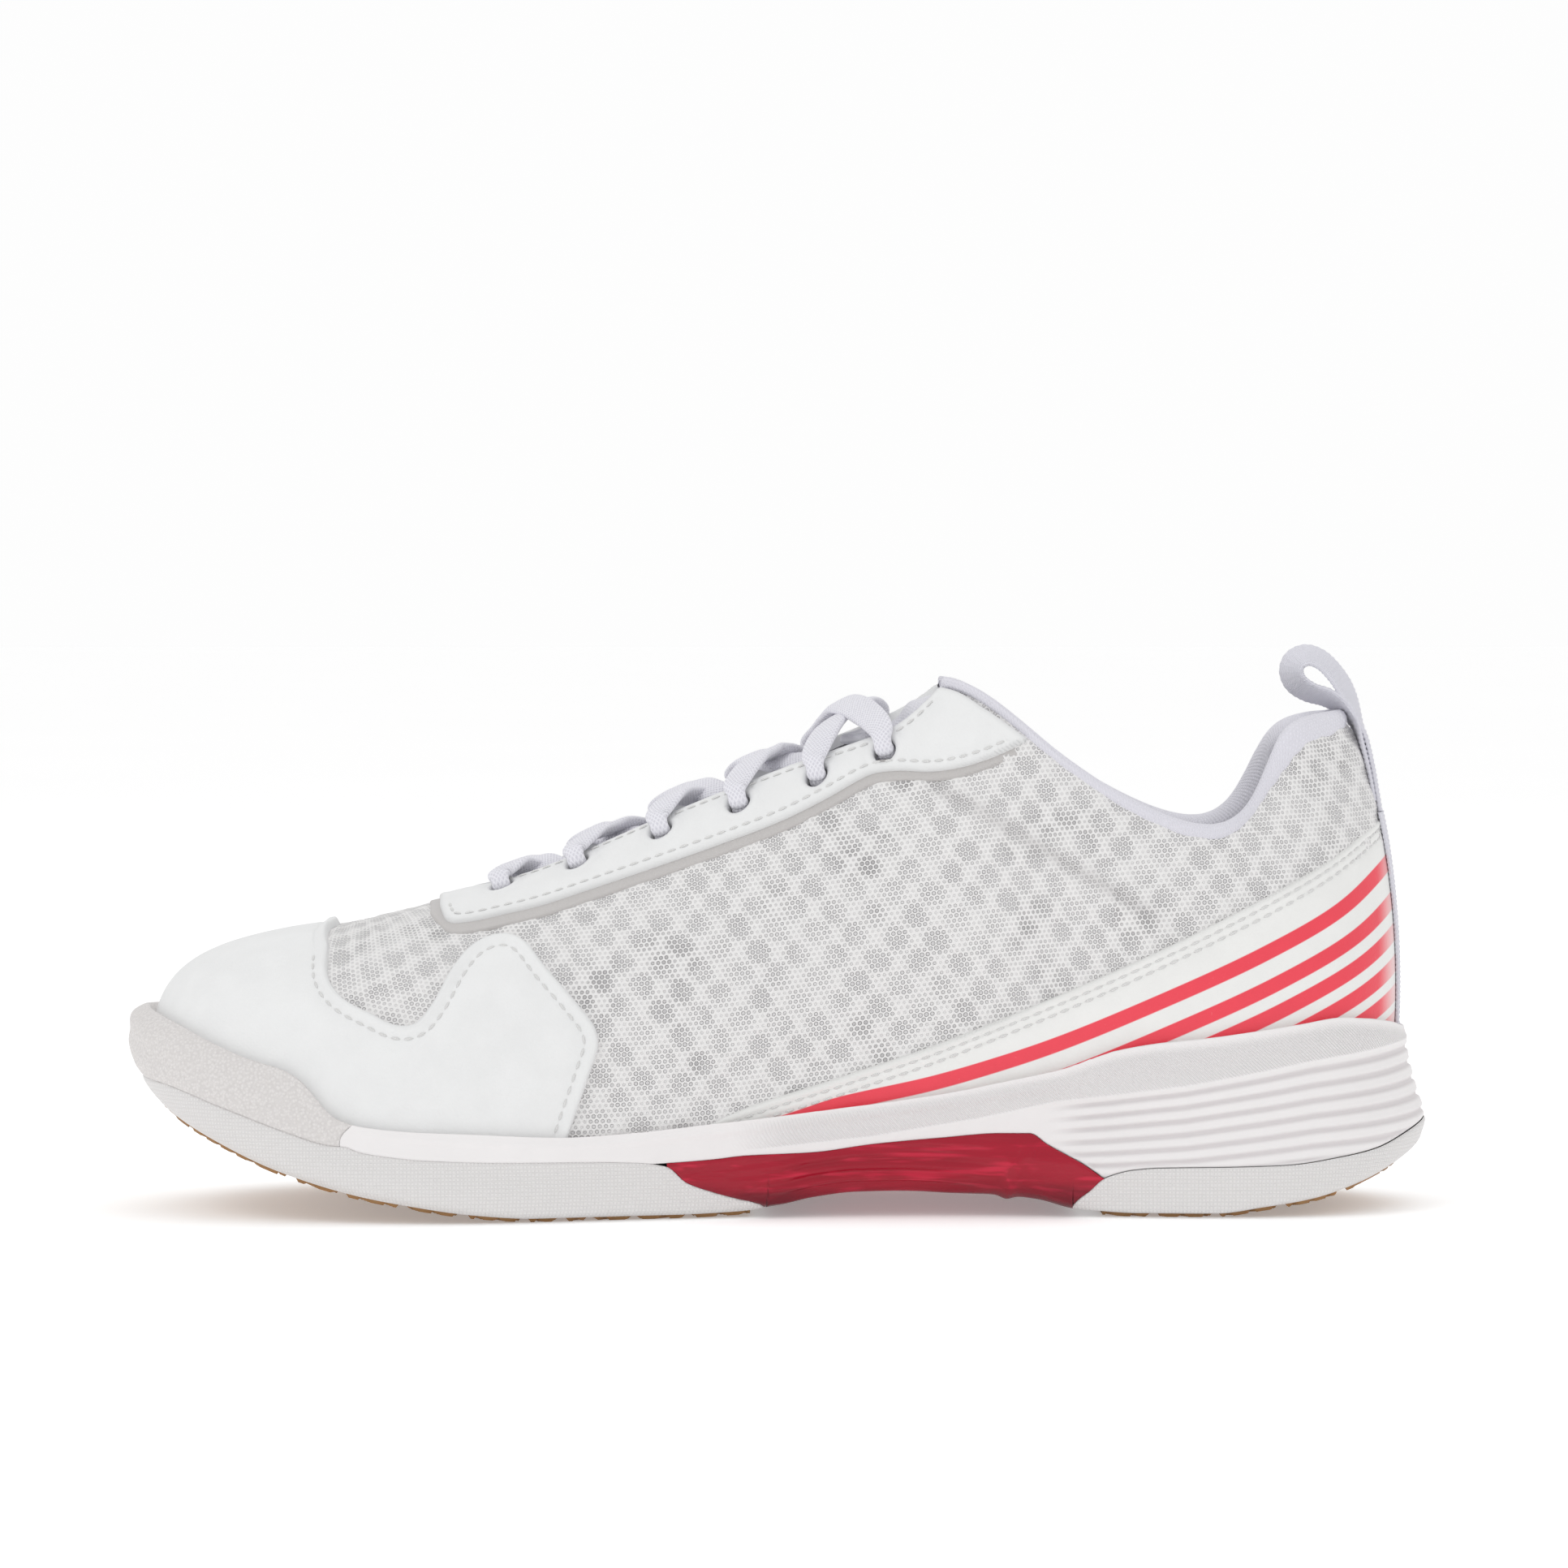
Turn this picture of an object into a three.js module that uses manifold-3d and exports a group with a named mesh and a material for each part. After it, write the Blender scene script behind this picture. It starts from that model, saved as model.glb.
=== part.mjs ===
// A low court shoe for bowling, right foot, as an assembly of closed solids in millimetres.
// +X runs from the toe to the heel, +Y to the outer side of the foot and +Z up.
// The origin is on the floor, under the middle of the sole.

import * as THREE from "three";
import { mergeVertices } from "three/addons/utils/BufferGeometryUtils.js";
import Module from "manifold-3d";

const wasm = await Module();
wasm.setup();

// ---------------------------------------------------------------- driving sizes
const CLEAR = 0.3; // gap between pieces that touch
const MESH_THICK = 1.2; // base mesh of the upper
const OVERLAY_THICK = 1.0; // sewn-on synthetic leather
const UNDERLAY_THICK = 0.5; // thin backing that shows below the eyestay
const LINING_THICK = 0.6;
const LINING_OFFSET = -2.6; // outer face of the lining, measured inwards from the upper's surface
const BOARD_THICK = 1.3;
const INSOLE_THICK = 3.5;
const WALL = 5; // thickness of the side walls of the rubber cups and the shank
const FLOOR = 3.6; // height of the cups' floor above their lower edge
const TREAD_POCKET = 1.6; // how far the gum rubber is let into the cups
const TREAD_PROUD = 1.0; // how far it stands out below them
const LACE_WIDTH = 7;
const LACE_THICK = 1.6;
const EYELET_RADIUS = 3.1;
const EYELET_INSET = 5.2; // from the edge of the throat
const LACE_IN_EYELET = 3.6; // the lace bunches up to this width in an eyelet
const TAB_WIDTH = 10;

const STEPS_PER_STATION = 2;
const SHELL_ROWS = [0, 0.18, 0.38, 0.58, 0.73, 0.84, 0.93, 1];

// ---------------------------------------------------------------- the upper's surface
// Ribs run from the edge of the footbed (v = 0) up to the top line (v = 1). The top line follows the ridge
// of the forefoot and instep, then the edge of the ankle opening. Each station gives the rib's foot on the
// medial and lateral side, its top on the medial side, half the opening there, and its two Bezier handles:
// low = [outwards, share of the height], high = [share of the rib's width, outwards, downwards].
const STATIONS = [
  { medial: [-142.5, -9], lateral: [-142.5, -9], top: [-112, -6, 63], half: 0, low: [3, 0.77], high: [0.56, 0, 0] },
  { medial: [-139.5, -22.5], lateral: [-140, 5.5], top: [-107, -5, 63.7], half: 0, low: [3, 0.7], high: [0.6, 0, 0] },
  { medial: [-132, -33.5], lateral: [-133.5, 17.5], top: [-101.5, -4, 64.5], half: 0, low: [3, 0.64], high: [0.62, 0, 0] },
  { medial: [-117, -42], lateral: [-120, 29.5], top: [-94, -3, 66], half: 0, low: [3, 0.58], high: [0.65, 0, 0] },
  { medial: [-97, -46.5], lateral: [-100, 39.5], top: [-82, -2, 69], half: 0, low: [3, 0.52], high: [0.68, 0, 0] },
  { medial: [-73, -47.5], lateral: [-77, 45.5], top: [-66, -1, 72.8], half: 0, low: [3, 0.5], high: [0.72, 0, 0] },
  { medial: [-48, -44], lateral: [-50, 48.5], top: [-46, 0, 80.8], half: 0, low: [4, 0.47], high: [0.74, 0, 0] },
  { medial: [-20, -37.5], lateral: [-21, 47], top: [-22, 0, 92.6], half: 0, low: [6, 0.44], high: [0.76, 0, 0] },
  { medial: [7, -33], lateral: [7, 42.5], top: [4, 0, 104.6], half: 0, low: [7, 0.42], high: [0.78, 0, 0] },
  { medial: [32, -31], lateral: [32, 38.5], top: [24, 0, 115.2], half: 0, low: [7, 0.4], high: [0.74, 0, 0] },
  { medial: [50, -31.2], lateral: [50, 36.5], top: [41, 0, 119.8], half: 17, low: [6, 0.38], high: [0, 9, 9] },
  { medial: [66, -32.2], lateral: [66, 35.3], top: [60, 0, 106], half: 25.5, low: [5, 0.38], high: [0, 8, 12] },
  { medial: [84, -33.5], lateral: [84, 34.5], top: [80, 0, 92.8], half: 28, low: [4, 0.38], high: [0, 7, 14] },
  { medial: [101, -33.3], lateral: [101, 33.3], top: [98, 0, 87.6], half: 26.5, low: [3.5, 0.38], high: [0, 6.5, 14] },
  { medial: [116, -30], lateral: [116, 30], top: [108, 0, 95.3], half: 22.5, low: [3.5, 0.38], high: [0, 8, 12] },
  { medial: [128, -24], lateral: [128, 24], top: [113.5, 0, 106.6], half: 17.5, low: [4, 0.38], high: [0, 9.5, 11] },
  { medial: [136, -14], lateral: [136, 14], top: [120.5, 0, 111.6], half: 10.5, low: [4, 0.38], high: [0, 10, 10] },
  { medial: [139.5, 0], lateral: [139.5, 0], top: [127.5, 0, 112.6], half: 0, low: [4, 0.376], high: [0, 10.5, 10] },
];
const HEEL = STATIONS.length - 1; // loop position of the middle of the heel
const LOOP = 2 * HEEL; // the loop runs toe, medial side, heel, lateral side and back to the toe
const INSTEP = 9; // last station whose top is on the ridge
const TOE_SLOPE = 0.2; // slope of the ridge at its front end

// The sole's widest outline, station by station, on the medial and the lateral side.
const SOLE_MEDIAL = [
  [-149, -9], [-146, -24], [-138, -36.5], [-122, -46], [-100, -51], [-75, -52.2], [-50, -48], [-22, -41], [6, -36.3],
  [32, -34.5], [50, -35], [67, -36.5], [86, -38.3], [104, -38.8], [120, -36.5], [134, -29.5], [144, -17], [149, 0],
];
const SOLE_LATERAL = [
  [-149, -9], [-146.5, 7], [-140, 20.5], [-126, 33.5], [-105, 43.8], [-80, 49.7], [-52, 52.1], [-22, 50.7], [6, 46.8],
  [32, 42.7], [50, 40.8], [67, 39.8], [86, 39.3], [104, 38.8], [120, 36.5], [134, 29.5], [144, 17], [149, 0],
];

// Heights along the shoe, as [x, z].
const footbed = profile([
  [-150, 35], [-142, 33], [-125, 26], [-100, 18], [-75, 14], [-50, 12.5], [-25, 13.5], [0, 16], [25, 19], [50, 22],
  [75, 24.5], [100, 26.5], [125, 28], [140, 29],
]);
const rimBottom = profile([
  [-149, 34], [-144, 28.2], [-139, 24.4], [-126, 17.4], [-112, 11.4], [-95, 6.4], [-83, 4.1], [-68, 1.9], [-55, 1],
  [-24, 1], [-11, 1.4], [0, 2.6], [7, 4.2], [17, 5.5], [28, 5.8], [39, 5.4], [50, 4.8], [58, 3.9], [66, 1.9],
  [72, 1.4], [80, 1], [98, 1], [109, 2.4], [120, 4.1], [132, 7.5], [145, 12.6], [150, 15],
]);
// The top edge of the sole's side wall: the toe bumper, a step down, then the foam up to the heel.
const wallTop = profile([
  [-143, 46.1], [-133, 42.4], [-126, 39.3], [-117, 35.9], [-110, 33.9], [-106.5, 31.8], [-103.2, 28.4], [-100.5, 25.3],
  [-98, 23.6], [-93, 22.1], [-82, 21], [-68, 20.4], [-49, 19.6], [-32, 20.5], [-19, 21.8], [-6, 23.1], [10, 25],
  [25, 26.8], [38, 28.7], [51, 31.3], [63, 34], [75, 38.2], [85, 40], [95, 41], [106, 42.4], [116, 43.8], [125, 45],
  [130, 44.5], [137, 43], [141, 41],
]);

// ---------------------------------------------------------------- side-view outlines, as [x, z]
const BUMPER_LOWER = [[-155, 31.6], [-140, 30.6], [-124, 25.6], [-110, 20.7], [-100.5, 17.9], [-96.3, 17.9]];
const CUP_UPPER = [
  [-94, 16.5], [-89, 15.6], [-79, 14.6], [-61, 13.9], [-42, 13.7], [-32, 13.3], [-25.5, 12.3],
];
const CUP_REAR = [[-21, 8.6], [-15, 6.2], [-10, 4.6], [-5, 3.3], [3, 3.9], [9, 4.6]];
const SHANK_UPPER = [
  [-15, 13.7], [-8, 14.4], [6.6, 14.9], [21, 16.7], [35.5, 18], [50, 19.1], [56, 19.1], [60, 16.7], [68, 12.3], [73, 8.8],
];
const SHANK_REAR = [[69.5, 6.2], [66.5, 3.6], [64, 2.6]];
const HEEL_CUP_UPPER = [[79.3, 11], [85.2, 11.5], [102.7, 11.8], [114, 12.1], [126, 13.5], [135, 15], [143.5, 18], [155, 21.5]];
const TOE_CAP_REAR = [
  [-101.3, 70], [-101.3, 64.5], [-102.4, 60], [-101.8, 54], [-99, 50.2], [-91, 45.4], [-85.5, 43.2], [-81.5, 43.8],
  [-78.5, 47], [-73, 55.6], [-69.5, 59.6], [-65.5, 61.9], [-61.5, 62.2], [-58.5, 60.8], [-53, 54.8], [-45.5, 46.6],
  [-42.3, 42.4], [-41.8, 39], [-44.5, 30.5], [-48.2, 19], [-50, 5],
];
const EYESTAY_LOWER = [
  [-77, 66.2], [-72, 66], [-63, 67.4], [-54, 69.6], [-40, 74.2], [-26, 79], [-12, 84], [0, 88.6], [12, 94.4], [19, 98],
  [26, 99.4], [34, 99.5], [43, 101.2], [50, 104.1], [56, 107.4],
];
const EYESTAY_UPPER = [[52, 111], [46, 115.4], [41, 118.6], [36, 119.9], [31, 119.2], [26, 116.6], [20, 112.8], [20, 130], [-77, 130]];
const UNDERLAY_DROP = 2.2; // how far the underlay shows round the eyestay
const UNDERLAY_LAP = 3; // how far it runs on beneath it
const SADDLE_UPPER = [
  [-8, 22], [0, 25.8], [12, 29], [29, 34.7], [47, 42], [66, 50.5], [87, 61.5], [107, 72.5], [122, 80.7], [131, 86.3], [145, 94],
];
const THROAT = { front: -69, widths: [[-62, 7], [-52, 9], [-20, 10.5], [15, 12], [38, 15], [62, 17]] };
const LACE_ZONE_HALF = 27; // the lining stops here, under the eyelets
const EYELETS = [-63.5, -46, -27, -9.3, 8.4, 24]; // x of each row
const GROOVES = [-109.5, -98, -84.5, -71, -57.5, -49, -43, -33, -21, 84, 98, 113, 127]; // across the gum tread
const GROOVE_WIDTH = 2.4;

// ---------------------------------------------------------------- curves
// A smooth height over x that never overshoots its points.
function profile(points) {
  const x = points.map((p) => p[0]);
  const z = points.map((p) => p[1]);
  const chord = x.slice(1).map((_, i) => (z[i + 1] - z[i]) / (x[i + 1] - x[i]));
  const slope = x.map((_, i) => {
    if (i === 0 || i === x.length - 1) return chord[Math.min(i, chord.length - 1)];
    const [a, b] = [chord[i - 1], chord[i]];
    return a * b <= 0 ? 0 : (2 * a * b) / (a + b);
  });
  return (at) => {
    if (at <= x[0]) return z[0] + slope[0] * (at - x[0]);
    if (at >= x.at(-1)) return z.at(-1) + slope.at(-1) * (at - x.at(-1));
    const i = x.findIndex((_, k) => at < x[k + 1]);
    const width = x[i + 1] - x[i];
    return hermite(z[i], z[i + 1], slope[i] * width, slope[i + 1] * width, (at - x[i]) / width);
  };
}

function hermite(a, b, slopeA, slopeB, t) {
  const u = t * t * (3 - 2 * t);
  return a * (1 - u) + b * u + slopeA * t * (1 - t) * (1 - t) - slopeB * t * t * (1 - t);
}

// A closed curve with continuous curvature through points of any dimension.
function closedSpline(points) {
  const n = points.length;
  const slopes = points.map((p) => p.map(() => 0));
  const passes = 60;
  for (let pass = 0; pass < passes; pass++)
    for (let i = 0; i < n; i++) {
      const [before, after] = [(i + n - 1) % n, (i + 1) % n];
      slopes[i] = slopes[i].map(
        (_, k) => (3 * (points[after][k] - points[before][k]) - slopes[before][k] - slopes[after][k]) / 4,
      );
    }
  return (s) => {
    const wrapped = ((s % n) + n) % n;
    const i = Math.floor(wrapped) % n;
    const j = (i + 1) % n;
    return points[i].map((_, k) => hermite(points[i][k], points[j][k], slopes[i][k], slopes[j][k], wrapped - i));
  };
}

// The stations in loop order: medial from toe to heel, then lateral from heel to toe.
const loopOrder = Array.from({ length: LOOP }, (_, j) => (j <= HEEL ? [j, "medial"] : [LOOP - j, "lateral"]));
const baseLoop = loopOrder.map(([i, side]) => STATIONS[i][side]);

// Unit vector pointing out of a closed plan outline that runs anticlockwise.
function outwards(loop, j) {
  const [before, after] = [loop[(j + loop.length - 1) % loop.length], loop[(j + 1) % loop.length]];
  const length = Math.hypot(after[0] - before[0], after[1] - before[1]);
  return [(after[1] - before[1]) / length, -(after[0] - before[0]) / length];
}

// The four Bezier points of the rib at loop position j.
function rib(j) {
  const [i, side] = loopOrder[j];
  const station = STATIONS[i];
  const sign = side === "medial" ? -1 : 1;
  const [bx, by] = station[side];
  const base = [bx, by, footbed(bx)];
  const top = [station.top[0], station.top[1] + sign * station.half, station.top[2]];
  const out = outwards(baseLoop, j);
  const rise = top[2] - base[2];
  const low = [bx + out[0] * station.low[0], by + out[1] * station.low[0], base[2] + rise * station.low[1]];
  const [share, extra, drop] = station.high;
  if (i > INSTEP)
    return [base, low, [top[0] + out[0] * extra, top[1] + out[1] * extra, top[2] - drop], top];
  const fan = Math.max(0, 1 - i / 4); // at the toe the ribs turn to meet the ridge head on
  const [dx, dy] = [(bx - top[0]) * fan, by - top[1]];
  const reach = (share * Math.hypot(bx - top[0], by - top[1])) / Math.hypot(dx, dy);
  const before = STATIONS[Math.max(0, i - 1)].top;
  const after = STATIONS[i + 1].top;
  const slope = i === 0 ? TOE_SLOPE : (after[2] - before[2]) / (after[0] - before[0]);
  return [base, low, [top[0] + dx * reach, top[1] + dy * reach, top[2] + dx * reach * slope], top];
}

const ribs = closedSpline(loopOrder.map((_, j) => rib(j).flat()));
const soleOutline = closedSpline(
  loopOrder.map(([i, side]) => (side === "medial" ? SOLE_MEDIAL[i] : SOLE_LATERAL[i])),
);

// The point of the upper's surface at loop position s and height share v.
function surface(s, v) {
  const c = ribs(s);
  const w = [(1 - v) ** 3, 3 * v * (1 - v) ** 2, 3 * v * v * (1 - v), v ** 3];
  return new THREE.Vector3(...[0, 1, 2].map((k) => w.reduce((sum, weight, i) => sum + weight * c[3 * i + k], 0)));
}

// The medial twin of a loop position whose rib ends on the ridge, or null elsewhere.
function ridgeTwin(s) {
  const wrapped = ((s % LOOP) + LOOP) % LOOP;
  const medial = Math.min(wrapped, LOOP - wrapped);
  return medial <= INSTEP ? medial : null;
}

function oneSidedNormal(s, v) {
  const at = Math.min(v, 0.985);
  const along = surface(s + 0.02, at).sub(surface(s - 0.02, at));
  const up = surface(s, at + 0.012).sub(surface(s, Math.max(0, at - 0.012)));
  return along.cross(up).normalize();
}

// A point off the surface: outwards along the normal, and beyond the top line along the rib.
// On the ridge both sides share one normal, so that their halves meet.
function place(s, v, off, lift = 0) {
  const twin = v === 1 ? ridgeTwin(s) : null;
  if (twin !== null) {
    const shared = oneSidedNormal(twin, 1).add(oneSidedNormal(LOOP - twin, 1)).normalize();
    return surface(twin, 1).addScaledVector(shared, off);
  }
  const p = surface(s, v).addScaledVector(oneSidedNormal(s, v), off);
  return lift ? p.addScaledVector(surface(s, v).sub(surface(s, v - 0.02)).normalize(), lift) : p;
}

// The loop position and height share of the point of the instep straight above (x, y).
function below(x, y) {
  let [sLow, sHigh, vLow, vHigh] = y > 0 ? [HEEL, LOOP, 0.3, 1] : [0, HEEL, 0.3, 1];
  let best;
  const [passes, cells] = [5, 16];
  for (let pass = 0; pass < passes; pass++) {
    best = [0, 0, Infinity];
    for (let a = 0; a <= cells; a++)
      for (let b = 0; b <= cells; b++) {
        const s = sLow + ((sHigh - sLow) * a) / cells;
        const v = vLow + ((vHigh - vLow) * b) / cells;
        const p = surface(s, v);
        const miss = (p.x - x) ** 2 + (p.y - y) ** 2;
        if (miss < best[2]) best = [s, v, miss];
      }
    const [sStep, vStep] = [(sHigh - sLow) / cells, (vHigh - vLow) / cells];
    [sLow, sHigh] = [best[0] - 1.5 * sStep, best[0] + 1.5 * sStep];
    [vLow, vHigh] = [Math.max(0.3, best[1] - 1.5 * vStep), Math.min(1, best[1] + 1.5 * vStep)];
  }
  return best.slice(0, 2);
}

// ---------------------------------------------------------------- solids
// A manifold-3d solid from vertices and triangles, turned to face out.
function solidFrom(points, triangles) {
  const geometry = new THREE.BufferGeometry()
    .setAttribute("position", new THREE.Float32BufferAttribute(points.flatMap((p) => [p.x, p.y, p.z]), 3))
    .setIndex(triangles.flat());
  return solidOf(geometry);
}

function solidOf(geometry) {
  const bare = geometry.clone();
  bare.deleteAttribute("normal");
  bare.deleteAttribute("uv");
  const merged = mergeVertices(bare, 1e-4);
  const index = merged.index.array;
  const kept = [];
  for (let i = 0; i < index.length; i += 3) {
    const [a, b, c] = index.slice(i, i + 3);
    if (a !== b && b !== c && a !== c) kept.push(a, b, c);
  }
  const make = (list) =>
    new wasm.Manifold(
      new wasm.Mesh({ numProp: 3, vertProperties: merged.attributes.position.array, triVerts: new Uint32Array(list) }),
    );
  const made = make(kept);
  if (made.volume() > 0) return made;
  const turned = [];
  for (let i = 0; i < kept.length; i += 3) turned.push(kept[i], kept[i + 2], kept[i + 1]);
  return make(turned);
}

// Joins rings of equal length into a tube, capped at both ends or closed on itself. A cap is a ladder between
// the first half of the ring and the second. Where falls(k), the wall from point k is split along the other
// diagonal, so that facing sides of neighbouring layers match. open(i) leaves out the wall from point gap.
function loft(rings, capped, falls = () => false, gap = -1, open = () => false) {
  const n = rings[0].length;
  const triangles = [];
  for (let i = 0; i < (capped ? rings.length - 1 : rings.length); i++)
    for (let k = 0; k < n; k++) {
      if (k === gap && open(i)) continue;
      const [a, b] = [i * n + k, i * n + ((k + 1) % n)];
      const next = ((i + 1) % rings.length) * n;
      const [c, d] = [next + k, next + ((k + 1) % n)];
      if (falls(k)) triangles.push([a, b, c], [b, d, c]);
      else triangles.push([a, b, d], [a, d, c]);
    }
  const end = (rings.length - 1) * n;
  for (let k = 0; capped && k < n / 2 - 1; k++) {
    const [a, b, c, d] = [k, k + 1, n - 2 - k, n - 1 - k];
    triangles.push([b, a, d], [b, d, c]);
    triangles.push([end + a, end + b, end + d], [end + b, end + c, end + d]);
  }
  return solidFrom(rings.flat(), triangles);
}

// Stacks closed loops of equal length, each running toe, medial, heel, lateral, and caps both ends
// with a ladder of rungs from side to side.
function stack(loops) {
  const n = loops[0].length;
  const triangles = [];
  for (let i = 0; i < loops.length - 1; i++)
    for (let k = 0; k < n; k++) {
      const [a, b] = [i * n + k, i * n + ((k + 1) % n)];
      triangles.push([a, b, b + n], [a, b + n, a + n]);
    }
  const top = (loops.length - 1) * n;
  for (let k = 0; k < n / 2; k++) {
    const [a, b, c, d] = [k, k + 1, (n - k - 1) % n, (n - k) % n];
    if (b !== c) triangles.push([a, c, b], [top + a, top + b, top + c]);
    if (a !== d) triangles.push([a, d, c], [top + a, top + c, top + d]);
  }
  return solidFrom(loops.flat(), triangles);
}

const loopSteps = Array.from({ length: LOOP * STEPS_PER_STATION }, (_, k) => k / STEPS_PER_STATION);

function stepsBetween(from, to) {
  const count = Math.max(1, Math.round((to - from) * STEPS_PER_STATION));
  return Array.from({ length: count + 1 }, (_, k) => from + ((to - from) * k) / count);
}

const ringPoints = (s, ring) => ring.map(([v, off, lift]) => place(s, v, off, lift));

// A solid whose section at each s is ringAt(s), a closed list of [v, off, lift].
function band(from, to, ringAt) {
  return loft(stepsBetween(from, to).map((s) => ringPoints(s, ringAt(s))), true, fallsIn(ringAt(from)));
}

const fallsIn = (ring) => (k) => ring[(k + 1) % ring.length][0] < ring[k][0];

// A layer of the upper between two offsets. Its two sides are one piece along the ridge.
function layer(inner, outer, from = 0, to = LOOP, rows = SHELL_ROWS) {
  const ring = [...rows.map((v) => [v, outer]), ...rows.toReversed().map((v) => [v, inner])];
  const whole = to - from === LOOP;
  const steps = whole ? stepsBetween(from, to).slice(0, -1) : stepsBetween(from, to);
  const rings = steps.map((s) => ringPoints(s, ring));
  const onRidge = (i) => ridgeTwin(steps[i]) !== null && ridgeTwin(steps[(i + 1) % steps.length]) !== null;
  return loft(rings, !whole, fallsIn(ring), rows.length - 1, onRidge);
}

// A prism through the whole shoe from a side-view outline, or through its height from a plan outline.
const REACH = 200;
function sidePrism(outline, yFrom = -REACH, yTo = REACH) {
  const geometry = extrude(outline, yTo - yFrom);
  geometry.rotateX(Math.PI / 2).translate(0, yTo, 0);
  return solidOf(geometry);
}

function planPrism(outline) {
  const geometry = extrude(outline, 2 * REACH);
  geometry.translate(0, 0, -REACH);
  return solidOf(geometry);
}

function extrude(outline, depth) {
  const shape = new THREE.Shape(outline.map(([x, y]) => new THREE.Vector2(x, y)));
  return new THREE.ExtrudeGeometry(shape, { depth, bevelEnabled: false });
}

// The outline moved outwards by a distance, corner by corner.
function grown(outline, by) {
  const points = outline.map(([x, y]) => new THREE.Vector2(x, y));
  const turn = Math.sign(THREE.ShapeUtils.area(points));
  return points.map((p, i) => {
    const before = p.clone().sub(points.at(i - 1)).normalize();
    const after = points[(i + 1) % points.length].clone().sub(p).normalize();
    const out = new THREE.Vector2(before.y + after.y, -before.x - after.x).multiplyScalar(turn);
    const stretch = Math.min(3, 2 / Math.max(0.3, out.lengthSq() / 2));
    return [p.x + (out.x / 2) * by * stretch, p.y + (out.y / 2) * by * stretch];
  });
}

function halfSpace(axis, from, to) {
  const size = [2 * REACH, 2 * REACH, 2 * REACH];
  const centre = [0, 0, 0];
  size[axis] = to - from;
  centre[axis] = (from + to) / 2;
  return solidOf(new THREE.BoxGeometry(...size).translate(...centre));
}

// ---------------------------------------------------------------- the sole
// A loop at a distance inside the sole's outline; heightAt gives z from x and the loop position.
function soleLoop(inset, heightAt) {
  return loopSteps.map((s) => {
    const [x, y] = soleOutline(s);
    const by = typeof inset === "function" ? inset(x) : inset;
    const p = new THREE.Vector3(x, y, 0).addScaledVector(outlineNormal(s), -by);
    return p.setZ(heightAt(p.x));
  });
}

function outlineNormal(s) {
  const [before, after] = [soleOutline(s - 0.05), soleOutline(s + 0.05)];
  return new THREE.Vector3(after[1] - before[1], before[0] - after[0], 0).normalize();
}

// The height share at which the upper, at loop position s, reaches the height that heightAt gives for its x.
function shareAt(s, heightAt) {
  let [low, high] = [0, 0.7];
  const passes = 20;
  for (let i = 0; i < passes; i++) {
    const p = surface(s, (low + high) / 2);
    if (p.z < heightAt(p.x)) low = (low + high) / 2;
    else high = (low + high) / 2;
  }
  return (low + high) / 2;
}

const LIP = 1.7 + 1.5; // outer face of the wall's top edge, off the upper's surface
const wallShare = (share) => (x) => rimBottom(x) + share * (wallTop(x) - rimBottom(x));

// A loop of the wall, pushed out where the upper needs the room.
function wallLoop(inset, share) {
  return soleLoop(inset, wallShare(share)).map((p, i) => {
    const s = loopSteps[i];
    const skin = place(s, shareAt(s, () => p.z), LIP);
    const out = outlineNormal(s);
    return p.addScaledVector(out, Math.max(0, skin.sub(p).setZ(0).dot(out)));
  });
}

const soleBody = stack([
  soleLoop(4.5, rimBottom),
  soleLoop(1.2, (x) => rimBottom(x) + 2.4),
  soleLoop(0, wallShare(0.3)),
  wallLoop((x) => 0.3 + (1.2 * (x + 149)) / 298, 0.52),
  wallLoop((x) => 0.6 + (2.6 * (x + 149)) / 298, 0.76),
  loopSteps.map((s) => place(s, shareAt(s, wallTop), LIP)),
]);

// The room that the upper and its overlays take in the sole.
const envelope = stack([
  loopSteps.map((s) => place(s, 0, 1.7).add(new THREE.Vector3(0, 0, -CLEAR))),
  ...[0.08, 0.16, 0.26, 0.38, 0.5, 0.6].map((v) => loopSteps.map((s) => place(s, v, 1.7))),
]);

// A cup's walls and floor within a side-view zone: the zone less its core of foam.
function pan(zone, gap) {
  const core = stack([
    soleLoop(WALL + gap, (x) => rimBottom(x) + FLOOR + gap),
    soleLoop(WALL + gap, () => REACH),
  ]);
  return sidePrism(grown(zone, gap)).subtract(core);
}

const BELOW = -20;
const cupZone = [...BUMPER_LOWER, ...CUP_UPPER, ...CUP_REAR, [9, BELOW], [-155, BELOW]];
const shankZone = [CUP_UPPER.at(-1), ...SHANK_UPPER, ...SHANK_REAR, [64, BELOW], [9, BELOW], ...CUP_REAR.toReversed()];
const heelZone = [[64, BELOW], SHANK_REAR[2], SHANK_REAR[1], SHANK_REAR[0], SHANK_UPPER.at(-1), ...HEEL_CUP_UPPER, [155, BELOW]];
const bumperZone = [...BUMPER_LOWER, [-98, 23.6], [-98, 80], [-155, 80]];

// The gum rubber is let into the cups from below, inside their lower edge.
function tread(inset, top, bottom) {
  return stack([
    soleLoop(inset + 0.6, (x) => Math.max(0, rimBottom(x) + bottom)),
    soleLoop(inset, (x) => rimBottom(x) + top),
  ]);
}
const treadPocket = tread(6, TREAD_POCKET, -8);
const forefoot = halfSpace(0, -REACH, -6);
const rearfoot = halfSpace(0, 72, REACH);
const grooves = GROOVES.map((x) => {
  const depth = rimBottom(x) + 0.5;
  return solidOf(new THREE.BoxGeometry(GROOVE_WIDTH, 2 * REACH, 40).translate(x, 0, depth - 20));
});
const grooved = grooves.reduce((rest, groove) => rest.subtract(groove), tread(6 + CLEAR, TREAD_POCKET - CLEAR, -TREAD_PROUD));
const zoned = (zone) => soleBody.subtract(envelope).intersect(pan(grown(zone, -CLEAR / 2), 0)).subtract(treadPocket);

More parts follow.
